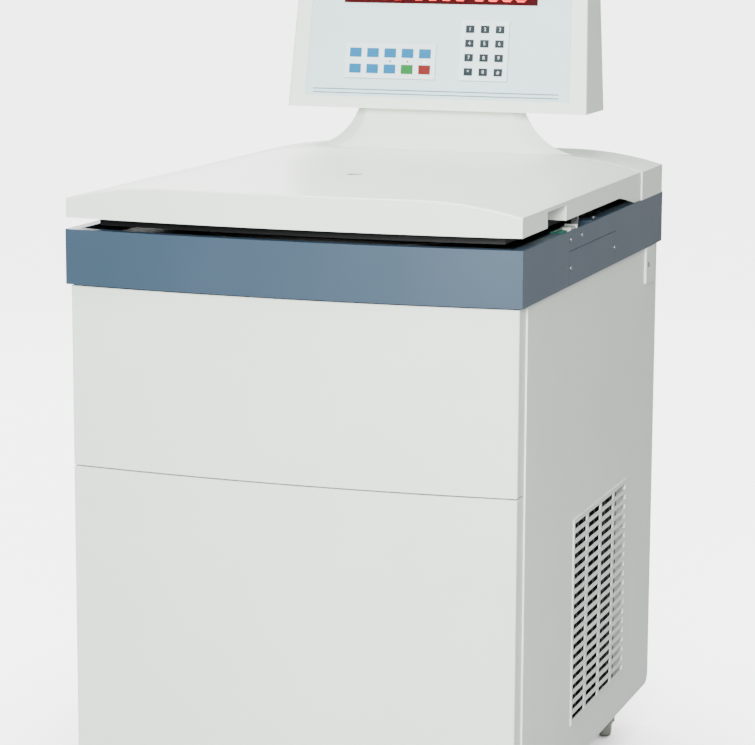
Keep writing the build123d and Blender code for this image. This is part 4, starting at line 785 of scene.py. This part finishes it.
class AddWorksTrim(bpy.types.Operator):
    """Add the condenser's foam strip and the small parts round the lock"""

    bl_idname = "centrifuge.add_works_trim"
    bl_label = "Add works trim"

    def execute(self, context):
        # Open-cell foam strip that fills the gap between the condenser's rear end and the side panel. It
        # shows pale behind the grille's last column.
        foam = cellular("pale foam strip", srgb("#D3DAD2"))
        strip_size = (23.4, 8.0, 352.0)
        bm = bmesh.new()
        add_box(bm, Matrix.Translation((0.347, 0.2268, 0.1265)), strip_size, 0.8)
        finish_mesh(bm, "condenser_air_seal", foam)
        # Zinc-plated screws on the keeper and the terminal board: bright
        zinc = metal("bright zinc screws", srgb("#D5D9DB"), 0.28, (1, 1, 1), 0.01)
        bm = bmesh.new()
        add_disc(bm, Matrix.Translation((0.352, 0.0235, 0.9505)), 3.0, 1.8, 20, 0.7)
        finish_mesh(bm, "keeper_screw", zinc)
        bm = bmesh.new()
        for y in (-0.183, -0.169, -0.155, -0.141):
            add_disc(bm, Matrix.Translation((0.347, y, 0.952)), 2.2, 0.8, 16, 0.3)
        finish_mesh(bm, "terminal_screws", zinc)
        # Moulded nylon plug at the board's front end: cream, waxy
        nylon = coated("moulded nylon plug", srgb("#DDE3DC"), 0.4, 0.6, 0.02)
        plug_size = (9.0, 11.0, 14.0)
        bm = bmesh.new()
        add_box(bm, Matrix.Translation((0.347, -0.1988, 0.9352)), plug_size, 0.8)
        finish_mesh(bm, "terminal_plug", nylon)
        return {"FINISHED"}


class AddStage(bpy.types.Operator):
    """Add the floor, the lights and the camera at the photograph's angle"""

    bl_idname = "centrifuge.add_stage"
    bl_label = "Add stage"

    def execute(self, context):
        s = context.scene.centrifuge_studio
        bm = bmesh.new()
        bmesh.ops.create_grid(bm, x_segments=1, y_segments=1, size=60.0)
        mesh = bpy.data.meshes.new("floor")
        bm.to_mesh(mesh)
        bm.free()
        floor = bpy.data.objects.new("floor", mesh)
        context.scene.collection.objects.link(floor)
        mesh.materials.append(studio_paper("studio floor paper", srgb("#B2B2B1"), s.floor_glow))

        world = bpy.data.worlds.new("studio")
        world.use_nodes = True
        tree = world.node_tree
        back = tree.nodes["Background"]
        back.inputs["Color"].default_value = srgb("#FFFFFF")
        ray = add_node(tree, "ShaderNodeLightPath", {})
        limits = {"Value": ray.outputs["Is Camera Ray"], "To Min": s.ambient, "To Max": s.floor_glow}
        seen = add_node(tree, "ShaderNodeMapRange", limits)
        tree.links.new(seen.outputs["Result"], back.inputs["Strength"])
        context.scene.world = world

        # Name, place, size and watts: beside the camera, overhead, behind for the other side, and a dim
        # one that puts a sheen on the right side
        lamps = [
            ("key", (1.1, -4.2, 2.4), 1.8, 560.0),
            ("top", (-0.3, -0.6, 4.4), 2.6, 250.0),
            ("back", (-2.6, 3.6, 2.6), 2.4, 170.0),
            ("sheen", (2.6, 4.6, 0.9), 3.0, 20.0),
        ]
        middle = Vector((0, 0, 0.7))
        for name, place, size, power in lamps:
            data = bpy.data.lights.new(name, "AREA")
            data.shape = "SQUARE"
            data.size = size
            data.energy = power * s.power
            lamp = bpy.data.objects.new(name, data)
            context.scene.collection.objects.link(lamp)
            lamp.location = place
            aim = middle - Vector(place)
            lamp.rotation_euler = aim.to_track_quat("-Z", "Y").to_euler()

        data = bpy.data.cameras.new("camera")
        data.lens = s.lens
        data.sensor_width = 36.0
        data.shift_x = s.shift
        data.clip_end = 100.0
        camera = bpy.data.objects.new("camera", data)
        context.scene.collection.objects.link(camera)
        camera.matrix_world = (
            Matrix.Translation(s.place)
            @ Matrix.Rotation(s.yaw, 4, "Z")
            @ Matrix.Rotation(math.pi / 2 - s.pitch, 4, "X")
            @ Matrix.Rotation(s.roll, 4, "Z")
        )
        context.scene.camera = camera
        return {"FINISHED"}


class CentrifugePanel(bpy.types.Panel):
    """Lists the dressing steps."""

    bl_idname = "VIEW3D_PT_centrifuge"
    bl_label = "Centrifuge"
    bl_space_type = "VIEW_3D"
    bl_region_type = "UI"
    bl_category = "Centrifuge"

    def draw(self, context):
        for step in STEPS:
            self.layout.operator(step.bl_idname)


STEPS = (
    FinishBody,
    FinishLid,
    FinishChamber,
    FinishWorks,
    FinishCasters,
    PrintConsole,
    AddKeys,
    AddDisplay,
    AddFasteners,
    AddWorksTrim,
    AddStage,
)
GROUPS = (FinishSettings, ConsoleSettings, StudioSettings)


def register():
    for cls in GROUPS + STEPS + (CentrifugePanel,):
        bpy.utils.register_class(cls)
    bpy.types.Scene.centrifuge_finish = bpy.props.PointerProperty(type=FinishSettings)
    bpy.types.Scene.centrifuge_console = bpy.props.PointerProperty(type=ConsoleSettings)
    bpy.types.Scene.centrifuge_studio = bpy.props.PointerProperty(type=StudioSettings)


def unregister():
    del bpy.types.Scene.centrifuge_studio
    del bpy.types.Scene.centrifuge_console
    del bpy.types.Scene.centrifuge_finish
    for cls in reversed(GROUPS + STEPS + (CentrifugePanel,)):
        bpy.utils.unregister_class(cls)


def main():
    register()
    bpy.ops.centrifuge.finish_body()
    bpy.ops.centrifuge.finish_lid()
    bpy.ops.centrifuge.finish_chamber()
    bpy.ops.centrifuge.finish_works()
    bpy.ops.centrifuge.finish_casters()
    bpy.ops.centrifuge.print_console()
    bpy.ops.centrifuge.add_keys()
    bpy.ops.centrifuge.add_display()
    bpy.ops.centrifuge.add_fasteners()
    bpy.ops.centrifuge.add_works_trim()
    bpy.ops.centrifuge.add_stage()


if __name__ == "__main__":
    main()
